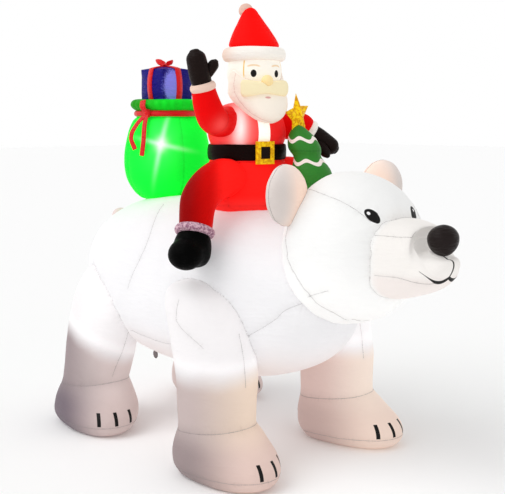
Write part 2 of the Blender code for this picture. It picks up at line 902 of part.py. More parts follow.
def build_rider(bear):
    red = cloth("red_cloth", RED_CLOTH)
    black = cloth("black_cloth", BLACK_CLOTH, 0.45)
    gold = cloth("gold_cloth", GOLD_CLOTH, 0.35)
    cream = cloth("cream_cloth", CREAM_CLOTH)
    skin_cloth = cloth("skin_cloth", SKIN_CLOTH)

    turned = {
        "santa_hips": torso_slice(HIP_SHARES, 6, SEAM_GAP),
        "santa_belt": torso_slice(BELT_SHARES, 3, SEAM_GAP),
        "santa_coat": torso_slice(COAT_SHARES, 7, SEAM_GAP),
        "santa_buckle": buckle_plate(),
        "santa_head": rider_face(),
        "santa_beard": rider_beard(),
        "santa_moustache": rider_moustache(),
        "santa_nose": rider_nose(),
        "santa_hat_trim": rider_trim(),
        "santa_hat": rider_hat(),
        "santa_pompom": rider_pompom(),
    }
    bags = {name: moved(shell, RIDER_FRAME) for name, shell in turned.items()}
    for word, path, thumb_side in (
        ("right", RIGHT_ARM_SHARES, Vector((0.6, 1, 0.1))),
        ("left", LEFT_ARM_SHARES, Vector((0.5, -0.5, -0.6))),
    ):
        sleeve, cuff, wrist, ahead = rider_sleeve(path)
        bags["santa_sleeve_" + word] = moved(sleeve, SADDLE_FRAME)
        bags["santa_sleeve_cuff_" + word] = moved(cuff, SADDLE_FRAME)
        bags["santa_mitten_" + word] = moved(mitten(wrist, ahead, thumb_side), SADDLE_FRAME)
    for side, word in SIDE_NAMES.items():
        leg, cuff, boot = rider_leg(side)
        bags["santa_leg_" + word] = moved(leg, SADDLE_FRAME)
        bags["santa_boot_cuff_" + word] = moved(cuff, SADDLE_FRAME)
        bags["santa_boot_" + word] = moved(boot, SADDLE_FRAME)

    barrel = bear["bear_body"]
    torso = [bags["santa_hips"], bags["santa_belt"], bags["santa_coat"]]
    finish = {
        "santa_hips": (red, [barrel]),
        "santa_belt": (black, []),
        "santa_coat": (red, []),
        "santa_buckle": (gold, torso),
        "santa_head": (skin_cloth, [bags["santa_coat"]]),
        "santa_beard": (cream, [bags["santa_head"], bags["santa_coat"]]),
        "santa_moustache": (cream, [bags["santa_head"], bags["santa_beard"]]),
        "santa_nose": (
            skin_cloth,
            [bags["santa_head"], bags["santa_moustache"], bags["santa_beard"]],
        ),
        "santa_hat_trim": (cream, []),
        "santa_hat": (red, []),
        "santa_pompom": (cream, [bags["santa_hat"]]),
    }
    for word in SIDE_NAMES.values():
        sleeve = bags["santa_sleeve_" + word]
        cuff = bags["santa_sleeve_cuff_" + word]
        finish["santa_sleeve_" + word] = (red, torso + [bags["santa_beard"]])
        finish["santa_sleeve_cuff_" + word] = (cream, [sleeve])
        finish["santa_mitten_" + word] = (black, [sleeve, cuff])
        leg = bags["santa_leg_" + word]
        boot_cuff = bags["santa_boot_cuff_" + word]
        finish["santa_leg_" + word] = (red, torso + [barrel])
        finish["santa_boot_cuff_" + word] = (cream, [leg, barrel])
        finish["santa_boot_" + word] = (black, [leg, boot_cuff, barrel])
    for name, (material, neighbours) in finish.items():
        place(name, fitted(bags[name], *neighbours), material)
    return bags


# The sack and the parcel

SACK_BASE_Z = back_z(SACK_X) - BURIED
SACK_TOP_Z = SACK_BASE_Z + SACK_HEIGHT


def sack_bag():
    points = (
        (SACK_RADIUS * 0.50, 0),
        (SACK_RADIUS * 0.74, SACK_HEIGHT * 0.07),
        (SACK_RADIUS * 0.95, SACK_HEIGHT * 0.26),
        (SACK_RADIUS, SACK_HEIGHT * 0.50),
        (SACK_RADIUS * 0.93, SACK_HEIGHT * 0.76),
        (SACK_RADIUS * 0.82, SACK_HEIGHT * 0.93),
        (SACK_NECK_RADIUS, SACK_HEIGHT),
    )
    return lathe(smooth_profile(points, 7), 16, (SACK_X, 0, SACK_BASE_Z), power=2.2)


def sack_band():
    radius = SACK_NECK_RADIUS
    points = (
        (radius * 0.985, SEAM_GAP),
        (radius * 1.03, SACK_BAND_HEIGHT * 0.3),
        (radius * 1.03, SACK_BAND_HEIGHT * 0.7),
        (radius * 0.985, SACK_BAND_HEIGHT),
    )
    return lathe(smooth_profile(points, 2), 16, (SACK_X, 0, SACK_TOP_Z), power=2.2)


COLLAR_BASE_Z = SACK_TOP_Z + SACK_BAND_HEIGHT


def sack_collar():
    radius = SACK_NECK_RADIUS
    points = (
        (radius * 0.98, SEAM_GAP),
        (radius * 1.10, COLLAR_HEIGHT * 0.30),
        (radius * 1.13, COLLAR_HEIGHT * 0.60),
        (radius * 1.04, COLLAR_HEIGHT * 0.92),
        (radius * 0.80, COLLAR_HEIGHT),
    )
    return lathe(smooth_profile(points, 4), 16, (SACK_X, 0, COLLAR_BASE_Z), power=2.2)


PARCEL_BASE_Z = COLLAR_BASE_Z + COLLAR_HEIGHT - BURIED
PARCEL_CENTRE = Vector((SACK_X, 0, PARCEL_BASE_Z + PARCEL_HEIGHT / 2))


def puffed_box(side, height, swell):
    """A box of cloth that air has rounded: its faces bulge and its edges stay."""
    shell = bmesh.new()
    bmesh.ops.create_cube(shell, size=2)
    bmesh.ops.subdivide_edges(shell, edges=shell.edges, cuts=3, use_grid_fill=True)
    for vert in shell.verts:
        p = vert.co
        squared = (p.x**2, p.y**2, p.z**2)
        p.x, p.y, p.z = (
            p.x * (1 + swell * (1 - squared[1]) * (1 - squared[2])),
            p.y * (1 + swell * (1 - squared[0]) * (1 - squared[2])),
            p.z * (1 + swell * (1 - squared[0]) * (1 - squared[1])),
        )
    bmesh.ops.scale(shell, vec=(side / 2, side / 2, height / 2), verts=shell.verts)
    return moved(faceted(shell), Matrix.Translation(PARCEL_CENTRE))


def parcel_ribbon(parcel, *neighbours):
    """Two bands of ribbon that cross on top, laid close on the bulging box."""
    outer = swollen(parcel, RIBBON_THICKNESS)
    long = PARCEL_SIDE * 2
    band_one = slab((long, PARCEL_RIBBON_WIDTH, long), PARCEL_CENTRE)
    band_two = slab((PARCEL_RIBBON_WIDTH, long * 1.1, long * 1.1), PARCEL_CENTRE)
    bands = boolean(outer, [joined(band_one, band_two)], "INTERSECT", "MANIFOLD")
    return fitted(bands, parcel, *neighbours, solver="MANIFOLD")


def parcel_bow():
    """Two loops and a knot on the parcel's top."""
    top = PARCEL_CENTRE + Vector((0, 0, PARCEL_HEIGHT / 2 * 1.10))
    size = PARCEL_SIDE * 0.36
    knot = ball((size * 0.20,) * 3, top + Vector((0, 0, size * 0.14)), 8, 6)
    lobes = []
    for turn, rise, scale in ((205, 0.55, 1.0), (20, 0.75, 0.72), (300, 0.1, 0.6)):
        angle = math.radians(turn)
        along = Vector((math.cos(angle), math.sin(angle), rise)).normalized()
        centre = top + Vector((0, 0, size * 0.14)) + along * size * scale * 0.5
        spin = along.to_track_quat("X", "Z").to_matrix().to_4x4()
        lobes.append(
            ball(
                (size * scale * 0.52, size * scale * 0.40, size * scale * 0.17),
                centre,
                8,
                5,
                spin,
            )
        )
    return joined(knot, *lobes)


def ribbon_strip(spots, width, thick, wide_way, rings=6):
    """A flat strip of ribbon through spots, as wide as width along wide_way."""
    return limb([(s, width / 2, thick / 2) for s in spots], rings, 4, wide_way=wide_way)


def sack_bow():
    """The knot at the sack's neck, its two hanging loops and an end laid over the collar."""
    out = Vector((math.cos(SACK_BOW_TURN), math.sin(SACK_BOW_TURN), 0))
    side = Vector((-out.y, out.x, 0))
    neck = Vector((SACK_X, 0, SACK_TOP_Z + SACK_BAND_HEIGHT / 2)) + out * (
        SACK_NECK_RADIUS * 1.03
    )
    width = SACK_BAND_HEIGHT * 0.9
    knot = ball(
        (width * 0.75, width * 0.75, width * 0.85), neck + out * (width * 0.15), 8, 6
    )
    clear_of_bag = SACK_RADIUS * 0.34
    pieces = []
    for away, drop, spread in (
        (-1, SACK_BOW_SHORT_TAIL, SACK_BOW_SPREAD),
        (1, SACK_BOW_LONG_TAIL, SACK_BOW_SPREAD * 0.33),
    ):
        spots = []
        for reach, sideways, down in ((0.17, 0, 0), (0.66, 0.6, 0.30), (0.94, 1, 0.65), (1, 0.55, 1)):
            spots.append(
                neck
                + out * (clear_of_bag * reach)
                + side * (away * spread * sideways)
                - Vector((0, 0, drop * down))
            )
        pieces.append(ribbon_strip(spots, width, SACK_BOW_DEPTH, side))
    over = []
    for reach, sideways, up in ((0.4, 0, 0), (1.04, 0.5, 0.55), (0.48, 0.8, 1.12)):
        over.append(
            neck
            + out * (width * reach)
            - side * (width * sideways)
            + Vector((0, 0, COLLAR_HEIGHT * up))
        )
    pieces.append(ribbon_strip(over, width * 1.25, SACK_BOW_DEPTH, side, 4))
    return joined(knot, *pieces)


def build_sack(bear, rider):
    """The sack, its neck, the parcel in it and their ribbons."""
    green = cloth("sack_cloth", SACK_GREEN)
    red = cloth("red_cloth", RED_CLOTH)
    blue = cloth("parcel_cloth", PARCEL_BLUE, 0.35)
    barrel = bear["bear_body"]
    bag = sack_bag()
    band = sack_band()
    collar = sack_collar()
    parcel = puffed_box(PARCEL_SIDE, PARCEL_HEIGHT, 0.16)
    ribbon = parcel_ribbon(parcel, collar)
    rider_back = [rider["santa_hips"], rider["santa_coat"], rider["santa_belt"]]
    place("gift_sack", fitted(bag, barrel, *rider_back), green)
    place("gift_sack_band", band.copy(), red)
    place("gift_sack_collar", collar.copy(), green)
    place("gift_parcel", fitted(parcel, collar), blue)
    place("gift_parcel_ribbon", ribbon.copy(), red)
    place("gift_parcel_bow", fitted(parcel_bow(), parcel, ribbon), red)
    place("gift_sack_bow", fitted(sack_bow(), bag, band, collar, parcel, ribbon), red)


# The tree


def tree_bag():
    """Three full tiers, drawn in between them."""
    base_z = back_z(TREE_X) - BURIED
    tiers = (
        (0.00, 0.95),
        (0.10, 1.10),
        (0.26, 1.04),
        (0.36, 0.86),
        (0.46, 1.00),
        (0.56, 1.02),
        (0.68, 0.74),
        (0.76, 0.86),
        (0.86, 0.74),
        (0.96, 0.36),
        (1.00, 0.0),
    )
    points = [(TREE_RADIUS * r, TREE_HEIGHT * h) for h, r in tiers]
    return lathe(
        smooth_profile(points, 11), 12, (TREE_X, TREE_Y, base_z), lean=TREE_LEAN
    )


def star_bag():
    """A five-pointed star, puffed on both faces."""
    shell = bmesh.new()
    rim = []
    for n in range(10):
        angle = STAR_ROLL + math.pi / 2 + math.pi * n / 5
        reach = STAR_RADIUS * (1 if n % 2 == 0 else 0.50)
        rim.append((reach * math.cos(angle), reach * math.sin(angle)))
    half = STAR_THICKNESS / 2
    front = shell.verts.new((half, 0, 0))
    back = shell.verts.new((-half, 0, 0))
    edge = [shell.verts.new((0, y, z)) for y, z in rim]
    for n in range(10):
        m = (n + 1) % 10
        shell.faces.new((edge[n], edge[m], front))
        shell.faces.new((edge[m], edge[n], back))
    faceted(shell)
    top = back_z(TREE_X) - BURIED + TREE_HEIGHT
    turn = (
        Matrix.Translation(
            (
                TREE_X + TREE_LEAN[0] * TREE_HEIGHT - STAR_RADIUS * 0.12,
                TREE_Y + TREE_LEAN[1] * TREE_HEIGHT + STAR_RADIUS * 0.12,
                top + STAR_RADIUS * 0.38,
            )
        )
        @ Matrix.Rotation(math.radians(12), 4, "Z")
        @ Matrix.Rotation(math.radians(-10), 4, "X")
    )
    return moved(shell, turn)


def build_tree(bear, rider):
    green = cloth("tree_cloth", TREE_GREEN)
    gold = cloth("gold_cloth", GOLD_CLOTH, 0.35)
    tree = tree_bag()
    solid_round_it = [
        bear["bear_body"],
        bear["bear_head"],
        bear["bear_ear_left"],
        rider["santa_hips"],
        rider["santa_coat"],
        rider["santa_belt"],
        rider["santa_leg_left"],
        rider["santa_sleeve_left"],
        rider["santa_sleeve_cuff_left"],
        rider["santa_mitten_left"],
        rider["santa_beard"],
    ]
    place("christmas_tree", fitted(tree, *solid_round_it), green)
    star = star_bag()
    place(
        "tree_star",
        fitted(
            star,
            tree,
            rider["santa_beard"],
            rider["santa_coat"],
            rider["santa_moustache"],
            rider["santa_head"],
            rider["santa_sleeve_left"],
        ),
        gold,
    )


def centre_on_floor():
    """Moves everything so that the middle of its outline stands over the origin."""
    pieces = [o for o in bpy.data.objects if not o.hide_render]
    low = Vector((math.inf,) * 3)
    high = Vector((-math.inf,) * 3)
    for piece in pieces:
        for vert in piece.data.vertices:
            low = Vector(map(min, low, vert.co))
            high = Vector(map(max, high, vert.co))
    shift = Vector((-(low.x + high.x) / 2, -(low.y + high.y) / 2, -low.z))
    for piece in pieces:
        piece.data.transform(Matrix.Translation(shift))


def build():
    clear_scene()
    bear = build_bear()
    rider = build_rider(bear)
    build_sack(bear, rider)
    build_tree(bear, rider)
    centre_on_floor()


build()
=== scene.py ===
"""Looks of the inflatable garden figure: sewn nylon bags, kept full by air and lit from inside.

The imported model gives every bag's size and place. Each bag is made here again as a fine mesh, with its
seams, puckers and folds. Metres, +Z up; the bear faces +X and its left side is +Y.
"""

import math

import bpy
import numpy as np
from mathutils import Matrix, Vector
from mathutils.bvhtree import BVHTree
from mathutils.kdtree import KDTree


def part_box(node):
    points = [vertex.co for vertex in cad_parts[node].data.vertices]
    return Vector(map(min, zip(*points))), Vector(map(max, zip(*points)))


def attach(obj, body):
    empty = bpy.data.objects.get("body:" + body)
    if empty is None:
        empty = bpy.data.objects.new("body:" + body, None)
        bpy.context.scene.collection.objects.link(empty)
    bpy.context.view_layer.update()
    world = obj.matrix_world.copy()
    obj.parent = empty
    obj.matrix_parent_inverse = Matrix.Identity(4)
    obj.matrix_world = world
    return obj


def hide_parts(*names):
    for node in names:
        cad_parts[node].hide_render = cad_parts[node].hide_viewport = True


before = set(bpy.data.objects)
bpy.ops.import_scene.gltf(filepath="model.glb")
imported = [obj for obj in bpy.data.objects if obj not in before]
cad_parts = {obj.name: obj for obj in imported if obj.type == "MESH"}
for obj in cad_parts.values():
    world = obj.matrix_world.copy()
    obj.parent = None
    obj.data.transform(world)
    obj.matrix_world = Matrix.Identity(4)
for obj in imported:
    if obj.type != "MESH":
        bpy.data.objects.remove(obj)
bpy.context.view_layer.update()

LEFT = 1
RIGHT = -1
SIDE_NAMES = {RIGHT: "right", LEFT: "left"}
UP = np.array((0.0, 0.0, 1.0))


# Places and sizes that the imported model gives


def low_corner(node):
    return np.array(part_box(node)[0])


def high_corner(node):
    return np.array(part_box(node)[1])


def middle(node):
    return (low_corner(node) + high_corner(node)) / 2


def extent(node):
    return high_corner(node) - low_corner(node)


CHEST_X = high_corner("bear_body")[0]
BODY_LENGTH, BODY_WIDTH, BODY_HEIGHT = extent("bear_body")
BELLY_Z = low_corner("bear_body")[2]
BODY_MIDDLE_X = CHEST_X - BODY_LENGTH / 2
BODY_MIDDLE_Z = BELLY_Z + BODY_HEIGHT / 2
BODY_FULLNESS = 2.7
BODY_SECTION_POWER = 2.25

FRONT_LEG_X = CHEST_X - 0.382
FRONT_LEG_STAGGER = 0.018
REAR_LEG_X = CHEST_X - 1.34
LEG_SPREAD = 0.372
LEG_RADIUS = 0.172
FRONT_LEG_HEIGHT = 0.83
FRONT_LEG_TOP_LEAN = 0.147
REAR_LEG_HEIGHT = 0.83
REAR_LEG_TOP_LEAN = 0.06
REAR_LEG_TOP_TUCK = 0.07
REAR_HEEL_CUT = 0.75
REAR_THIGH_REACH = 0.06
PAW_LENGTH = 0.49
PAW_HEIGHT = 0.23
FRONT_PAW_SPLAY = math.radians(4)
REAR_PAW_SPLAY = math.radians(14)

HEAD_RADIUS = 0.31
HEAD_CENTRE = np.array((CHEST_X + 0.025, 0.0, BELLY_Z + BODY_HEIGHT * 0.804))
HEAD_BACK_SHARE = 0.72
MUZZLE_REACH = 0.155
MUZZLE_WIDTH = 0.32
MUZZLE_HEIGHT = 0.30
CHIN_SLOPE = 0.28
NOSE_WIDTH = 0.118
EAR_DIAMETER = 0.25
EAR_THICKNESS = 0.10

RIDER_HEIGHT = 0.90
RIDER_X = CHEST_X - 0.59
RIDER_TURN = math.radians(-15)
BOOT_LENGTH = 0.16
TORSO_DEPTH_SHARE = 0.93

SACK_X = CHEST_X - 1.175
SACK_RADIUS = 0.205
SACK_HEIGHT = 0.41
SACK_NECK_RADIUS = 0.150
SACK_BAND_HEIGHT = 0.028
COLLAR_HEIGHT = 0.055
SACK_BOW_TURN = math.radians(-73)
PARCEL_SIDE = 0.175
PARCEL_HEIGHT = 0.165
PARCEL_SWELL = 0.16
RIBBON_WIDTH = 0.034
RIBBON_THICKNESS = 0.004
BOW_THICKNESS = 0.007
BURIED = 0.02

TREE_X = CHEST_X - 0.26
TREE_Y = 0.185
TREE_RADIUS = 0.084
TREE_HEIGHT = 0.445
TREE_LEAN = (-0.28, -0.16)
GARLAND_LEVELS = (1.398, 1.300)
STAR_RADIUS = 0.10
STAR_INNER_SHARE = 0.50
STAR_THICKNESS = 0.05
STAR_ROLL = math.radians(-17)


# Smooth noise that gives the same result each run


def lattice(i, j, k, seed):
    """A fixed number from 0 to 1 for each whole-number place."""
    mixed = (i * 73856093) ^ (j * 19349663) ^ (k * 83492791) ^ (seed * 2654435)
    mixed = (mixed ^ (mixed >> 13)) * 1274126177
    return ((mixed ^ (mixed >> 16)) & 0xFFFF) / 0xFFFF


def noise(x, y, z=0.0, seed=0):
    """Smooth noise from -1 to 1."""
    x, y, z = np.broadcast_arrays(x, y, z)
    place = np.stack((x, y, z)).astype(float)
    cell = np.floor(place).astype(np.int64)
    part = place - cell
    part = part * part * (3 - 2 * part)
    total = np.zeros(x.shape)
    for a in (0, 1):
        for b in (0, 1):
            for c in (0, 1):
                weight = (
                    (part[0] if a else 1 - part[0])
                    * (part[1] if b else 1 - part[1])
                    * (part[2] if c else 1 - part[2])
                )
                total += weight * lattice(cell[0] + a, cell[1] + b, cell[2] + c, seed)
    return total * 2 - 1


# Surfaces as grids of points: rows along the bag, columns round it


def superellipse(angle, half_a, half_b, power):
    """Points of a rounded-square outline: power 2 is an ellipse."""
    c = np.cos(angle)
    s = np.sin(angle)
    a = half_a * np.sign(c) * np.abs(c) ** (2 / power)
    b = half_b * np.sign(s) * np.abs(s) ** (2 / power)
    return a, b


def smooth(values, t):
    """A smooth curve through evenly spaced values, read at each t from 0 to 1."""
    values = np.asarray(values, float)
    flat = values.ndim == 1
    if flat:
        values = values[:, None]
    place = np.clip(np.atleast_1d(t), 0, 1) * (len(values) - 1)
    i = np.minimum(place.astype(int), len(values) - 2)
    u = (place - i)[:, None]
    ends = np.concatenate(
        (2 * values[:1] - values[1:2], values, 2 * values[-1:] - values[-2:-1])
    )
    p0, p1, p2, p3 = ends[i], ends[i + 1], ends[i + 2], ends[i + 3]
    curve = 0.5 * (
        2 * p1
        + (p2 - p0) * u
        + (2 * p0 - 5 * p1 + 4 * p2 - p3) * u**2
        + (3 * p1 - p0 - 3 * p2 + p3) * u**3
    )
    return curve[:, 0] if flat else curve


def turned_by(matrix, grid):
    """The grid moved by a 4x4 matrix."""
    m = np.array(matrix)
    return grid @ m[:3, :3].T + m[:3, 3]


def domed(rows, ahead, radius, bulge, first):
    """Rows that close an open end with a low dome."""
    ring = rows[0] if first else rows[-1]
    centre = ring.mean(axis=0)
    direction = -ahead if first else ahead
    steps = []
    for angle in np.linspace(0.12, 0.98, 7) * math.pi / 2:
        shrunk = centre + (ring - centre) * math.cos(angle)
        steps.append(shrunk + direction * radius * bulge * math.sin(angle))
    if first:
        return np.concatenate((np.array(steps[::-1]), rows))
    return np.concatenate((rows, np.array(steps)))


def tube(stations, rows, columns, power=2.0, dome=(0.25, 0.25), wide_way=None):
    """A bent bag through stations of (centre, half-width, half-depth), with low domes at its ends.

    The half-width is measured level, or along wide_way where that is given.
    """
    t = np.linspace(0, 1, rows)
    centres = smooth([s[0] for s in stations], t)
    widths = smooth([s[1] for s in stations], t)
    depths = smooth([s[2] for s in stations], t)
    points = np.array([s[0] for s in stations])
    ahead = smooth(points, np.minimum(t + 0.01, 1)) - smooth(points, np.maximum(t - 0.01, 0))
    ahead /= np.linalg.norm(ahead, axis=1, keepdims=True)
    if wide_way is None:
        across = np.cross(ahead, UP)
    else:
        across = wide_way - ahead * (ahead @ wide_way)[:, None]
    across /= np.linalg.norm(across, axis=1, keepdims=True)
    other = np.cross(across, ahead)
    angle = np.linspace(0, math.tau, columns, endpoint=False)
    a, b = superellipse(angle, 1.0, 1.0, power)
    grid = (
        centres[:, None]
        + across[:, None] * (widths[:, None] * a)[..., None]
        + other[:, None] * (depths[:, None] * b)[..., None]
    )
    if dome[0]:
        grid = domed(grid, ahead[0], (widths[0] + depths[0]) / 2, dome[0], True)
    if dome[1]:
        grid = domed(grid, ahead[-1], (widths[-1] + depths[-1]) / 2, dome[1], False)
    return grid


def turned(profile, rows, columns, centre=(0, 0, 0), depth_share=1.0, lean=(0, 0), power=2.0):
    """A turned bag from (radius, height) points, bottom to top."""
    curve = smooth(profile, np.linspace(0, 1, rows))
    radius = np.maximum(curve[:, 0], 0.0004)
    height = curve[:, 1]
    angle = np.linspace(0, math.tau, columns, endpoint=False)
    a, b = superellipse(angle, 1.0, 1.0, power)
    x = centre[0] + lean[0] * height[:, None] + depth_share * radius[:, None] * a
    y = centre[1] + lean[1] * height[:, None] + radius[:, None] * b
    z = np.broadcast_to(centre[2] + height[:, None], x.shape)
    return np.stack((x, y, z), axis=-1)


def egg(radii, centre, rows, columns, pole="z"):
    """An ellipsoid whose poles lie along one axis."""
    polar = np.linspace(0.004, 0.996, rows) * math.pi
    angle = np.linspace(0, math.tau, columns, endpoint=False)
    along = -np.cos(polar)[:, None] * np.ones_like(angle)
    first = np.sin(polar)[:, None] * np.cos(angle)
    second = np.sin(polar)[:, None] * np.sin(angle)
    order = {"x": (along, first, second), "y": (first, along, second), "z": (first, second, along)}
    return np.stack(order[pole], axis=-1) * np.array(radii) + np.array(centre)


def resampled(points, step=0.003, closed=False):
    """Evenly spaced points on a smooth curve through the given ones, and their distance along it."""
    points = np.asarray(points, float)
    if closed:
        points = np.concatenate((points, points[:1]))
    fine = smooth(points, np.linspace(0, 1, max(24, 12 * len(points))))
    run = np.concatenate(([0], np.cumsum(np.linalg.norm(np.diff(fine, axis=0), axis=1))))
    marks = np.arange(0, run[-1], step)
    even = np.stack([np.interp(marks, run, fine[:, n]) for n in range(3)], axis=-1)
    return even, marks


def polygons(grid):
    """The quads of a grid that closes round its columns."""
    rows, columns = grid.shape[:2]
    index = np.arange(rows * columns).reshape(rows, columns)
    after = np.roll(index, -1, axis=1)
    quads = np.stack((index[:-1], after[:-1], after[1:], index[1:]), axis=-1)
    return quads.reshape(-1, 4)


def normals_of(grid):
    """Outward normals of a grid."""
    along = np.gradient(grid, axis=0)
    round_it = np.roll(grid, -1, axis=1) - np.roll(grid, 1, axis=1)
    normal = np.cross(round_it, along)
    size = np.linalg.norm(normal, axis=-1, keepdims=True)
    normal = normal / np.maximum(size, 1e-12)
    outward = ((grid - grid.mean(axis=(0, 1))) * normal * size).sum()
    return normal if outward > 0 else -normal


def tree_of(grid, lines=90):
    """A search tree over the grid, thinned to about that many lines each way."""
    row_step = max(1, grid.shape[0] // lines)
    column_step = max(1, grid.shape[1] // lines)
    rows = np.unique(np.append(np.arange(0, grid.shape[0], row_step), grid.shape[0] - 1))
    coarse = grid[rows][:, ::column_step]
    normal = normals_of(coarse)
    quads = polygons(coarse)
    corners = coarse.reshape(-1, 3)
    middle_quad = quads[len(quads) // 2]
    corner, second, third = corners[middle_quad[:3]]
    turn = np.cross(second - corner, third - corner)
    if (turn * normal.reshape(-1, 3)[middle_quad[0]]).sum() < 0:
        quads = quads[:, ::-1]
    return BVHTree.FromPolygons(corners.tolist(), quads.tolist())


def height_over(tree, point, reach):
    """How far a point is outside (above 0) or inside (below 0) a bag, up to reach."""
    spot, normal, _, gap = tree.find_nearest(Vector(point), reach)
    if spot is None:
        return reach
    return math.copysign(gap, (Vector(point) - spot).dot(normal))


def evened(points, angle, marks=140):
    """A closed line, as evenly turned means of the points that lie round it."""
    share = (angle / math.tau + 0.5) * marks
    weights = np.zeros(marks)
    sums = np.zeros((marks, 3))
    for step in (-1, 0, 1):
        slot = np.floor(share + step).astype(int) % marks
        weight = np.maximum(0.02, 1 - np.abs(share - np.floor(share + step) - 0.5))
        np.add.at(weights, slot, weight)
        np.add.at(sums, slot, points * weight[:, None])
    kept = weights > 0.05
    line = sums[kept] / weights[kept][:, None]
    return np.concatenate((line, line[:1]))


class Bag:
    """One inflated bag: its grid of points and the seams that pull it in."""

    def __init__(self, grid):
        self.grid = grid
        self.tree = tree_of(grid)
        self.seams = []
        self.threads = []
        self.cloth = None

    def sew(self, points, strength=1.0, closed=False, stitched=True):
        """A seam, or a plain fold, through points that lie on or near the bag."""
        line, run = resampled(points, closed=closed)
        snapped = np.array([tuple(self.tree.find_nearest(Vector(p))[0]) for p in line])
        self.seams.append((snapped, run, strength))
        if stitched:
            self.threads.append((snapped, None))
        return self

    def sew_row(self, row, strength=1.0):
        """A sewn line round the bag, along one of its rows."""
        return self.sew(self.grid[row][:: max(1, self.grid.shape[1] // 40)], strength, True)

    def sew_column(self, share, start=0.05, end=0.95, strength=1.0):
        """A sewn line along the bag, at a share of the way round it."""
        rows = np.linspace(start, end, 14) * (self.grid.shape[0] - 1)
        column = int(share * self.grid.shape[1]) % self.grid.shape[1]
        return self.sew(self.grid[rows.astype(int), column], strength)

    def meet(self, other, strength=1.0, both=True):
        """The line where two bags are sewn together."""
        row_step = max(1, self.grid.shape[0] // 110)
        column_step = max(1, self.grid.shape[1] // 110)
        coarse = self.grid[::row_step, ::column_step]
        low = other.grid.min(axis=(0, 1)) - 0.04
        high = other.grid.max(axis=(0, 1)) + 0.04
        near = ((coarse > low) & (coarse < high)).all(axis=-1)
        height = np.full(coarse.shape[:2], 0.05)
        for i, j in np.argwhere(near):
            height[i, j] = height_over(other.tree, coarse[i, j], 0.5)
        crossings = []
        for axis in (0, 1):
            next_height = np.roll(height, -1, axis=axis)
            next_point = np.roll(coarse, -1, axis=axis)
            flips = height * next_height < 0
            if axis == 0:
                flips[-1] = False
            share = (height / (height - next_height + 1e-12))[..., None]
            crossings.append((coarse + (next_point - coarse) * share)[flips])
        found = np.concatenate(crossings)
        if len(found) < 8:
            return self
        centred = found - found.mean(axis=0)
        _, _, axes = np.linalg.svd(centred, full_matrices=False)
        a = centred @ axes[0]
        b = centred @ axes[1]
        angle = np.arctan2(b, a)
        run = angle * np.hypot(a, b).mean()
        self.seams.append((found, run, strength))
        if both:
            other.seams.append((found, run, strength))
        self.threads.append((evened(found, angle), other))
        return self

    def distances(self):
        """For each point: the distance to the nearest seam, the run along it and its strength."""
        rows, columns = self.grid.shape[:2]
        if not self.seams:
            far = np.full((rows, columns), 0.5)
            return far, far * 0, far * 0
        spots = np.concatenate([s[0] for s in self.seams])
        runs = np.concatenate([s[1] for s in self.seams])
        strengths = np.concatenate([np.full(len(s[1]), s[2]) for s in self.seams])
        search = KDTree(len(spots))
        for n, spot in enumerate(spots):
            search.insert(spot, n)
        search.balance()
        found = [search.find(p) for p in self.grid.reshape(-1, 3)]
        nearest = np.array([f[1] for f in found])
        gap = np.array([f[2] for f in found])
        shape = (rows, columns)
        return gap.reshape(shape), runs[nearest].reshape(shape), strengths[nearest].reshape(shape)

    def puffed(self, seed, pitch=0.024, pucker=0.0020, reach=0.034, pinch=0.006, sway=0.004, sway_size=0.22):
        """The bag's points with the seams drawn in, puckers beside them and slow dents all over.

        pitch is the spacing of the puckers along a seam and reach how far they run from it.
        """
        gap, run, strength = self.distances()
        fine = noise(run / pitch, gap / (reach * 2.2), 0, seed)
        broad = noise(run / (pitch * 2.7), gap / (reach * 5), 7, seed + 1)
        place = self.grid / sway_size
        dents = noise(place[..., 0], place[..., 1], place[..., 2], seed + 2)
        dents += 0.4 * noise(place[..., 0] * 2.3, place[..., 1] * 2.3, place[..., 2] * 2.3, seed + 3)
        push = sway * dents
        push -= strength * pinch * np.exp(-gap / (reach * 0.55))
        push += strength * pucker * fine * np.exp(-gap / reach)
        push += strength * pucker * 1.6 * broad * np.exp(-gap / (reach * 3.2))
        surface = self.grid + normals_of(self.grid) * push[..., None]
        self.cloth = tree_of(surface, 1000)
        return surface, gap, run

    def thread_lines(self, proud):
        """Each seam's points where the cloth really lies, a little proud of it."""
        lines = []
        for line, other in self.threads:
            points = []
            for spot in line:
                spot, out, _, _ = self.cloth.find_nearest(Vector(spot))
                if other:
                    for _ in range(6):
                        spot, second, _, _ = other.cloth.find_nearest(spot)
                        spot, out, _, _ = self.cloth.find_nearest(spot)
                    out = out + second * 0.7
                points.append(spot + out.normalized() * proud)
            lines.append(points)
        return lines


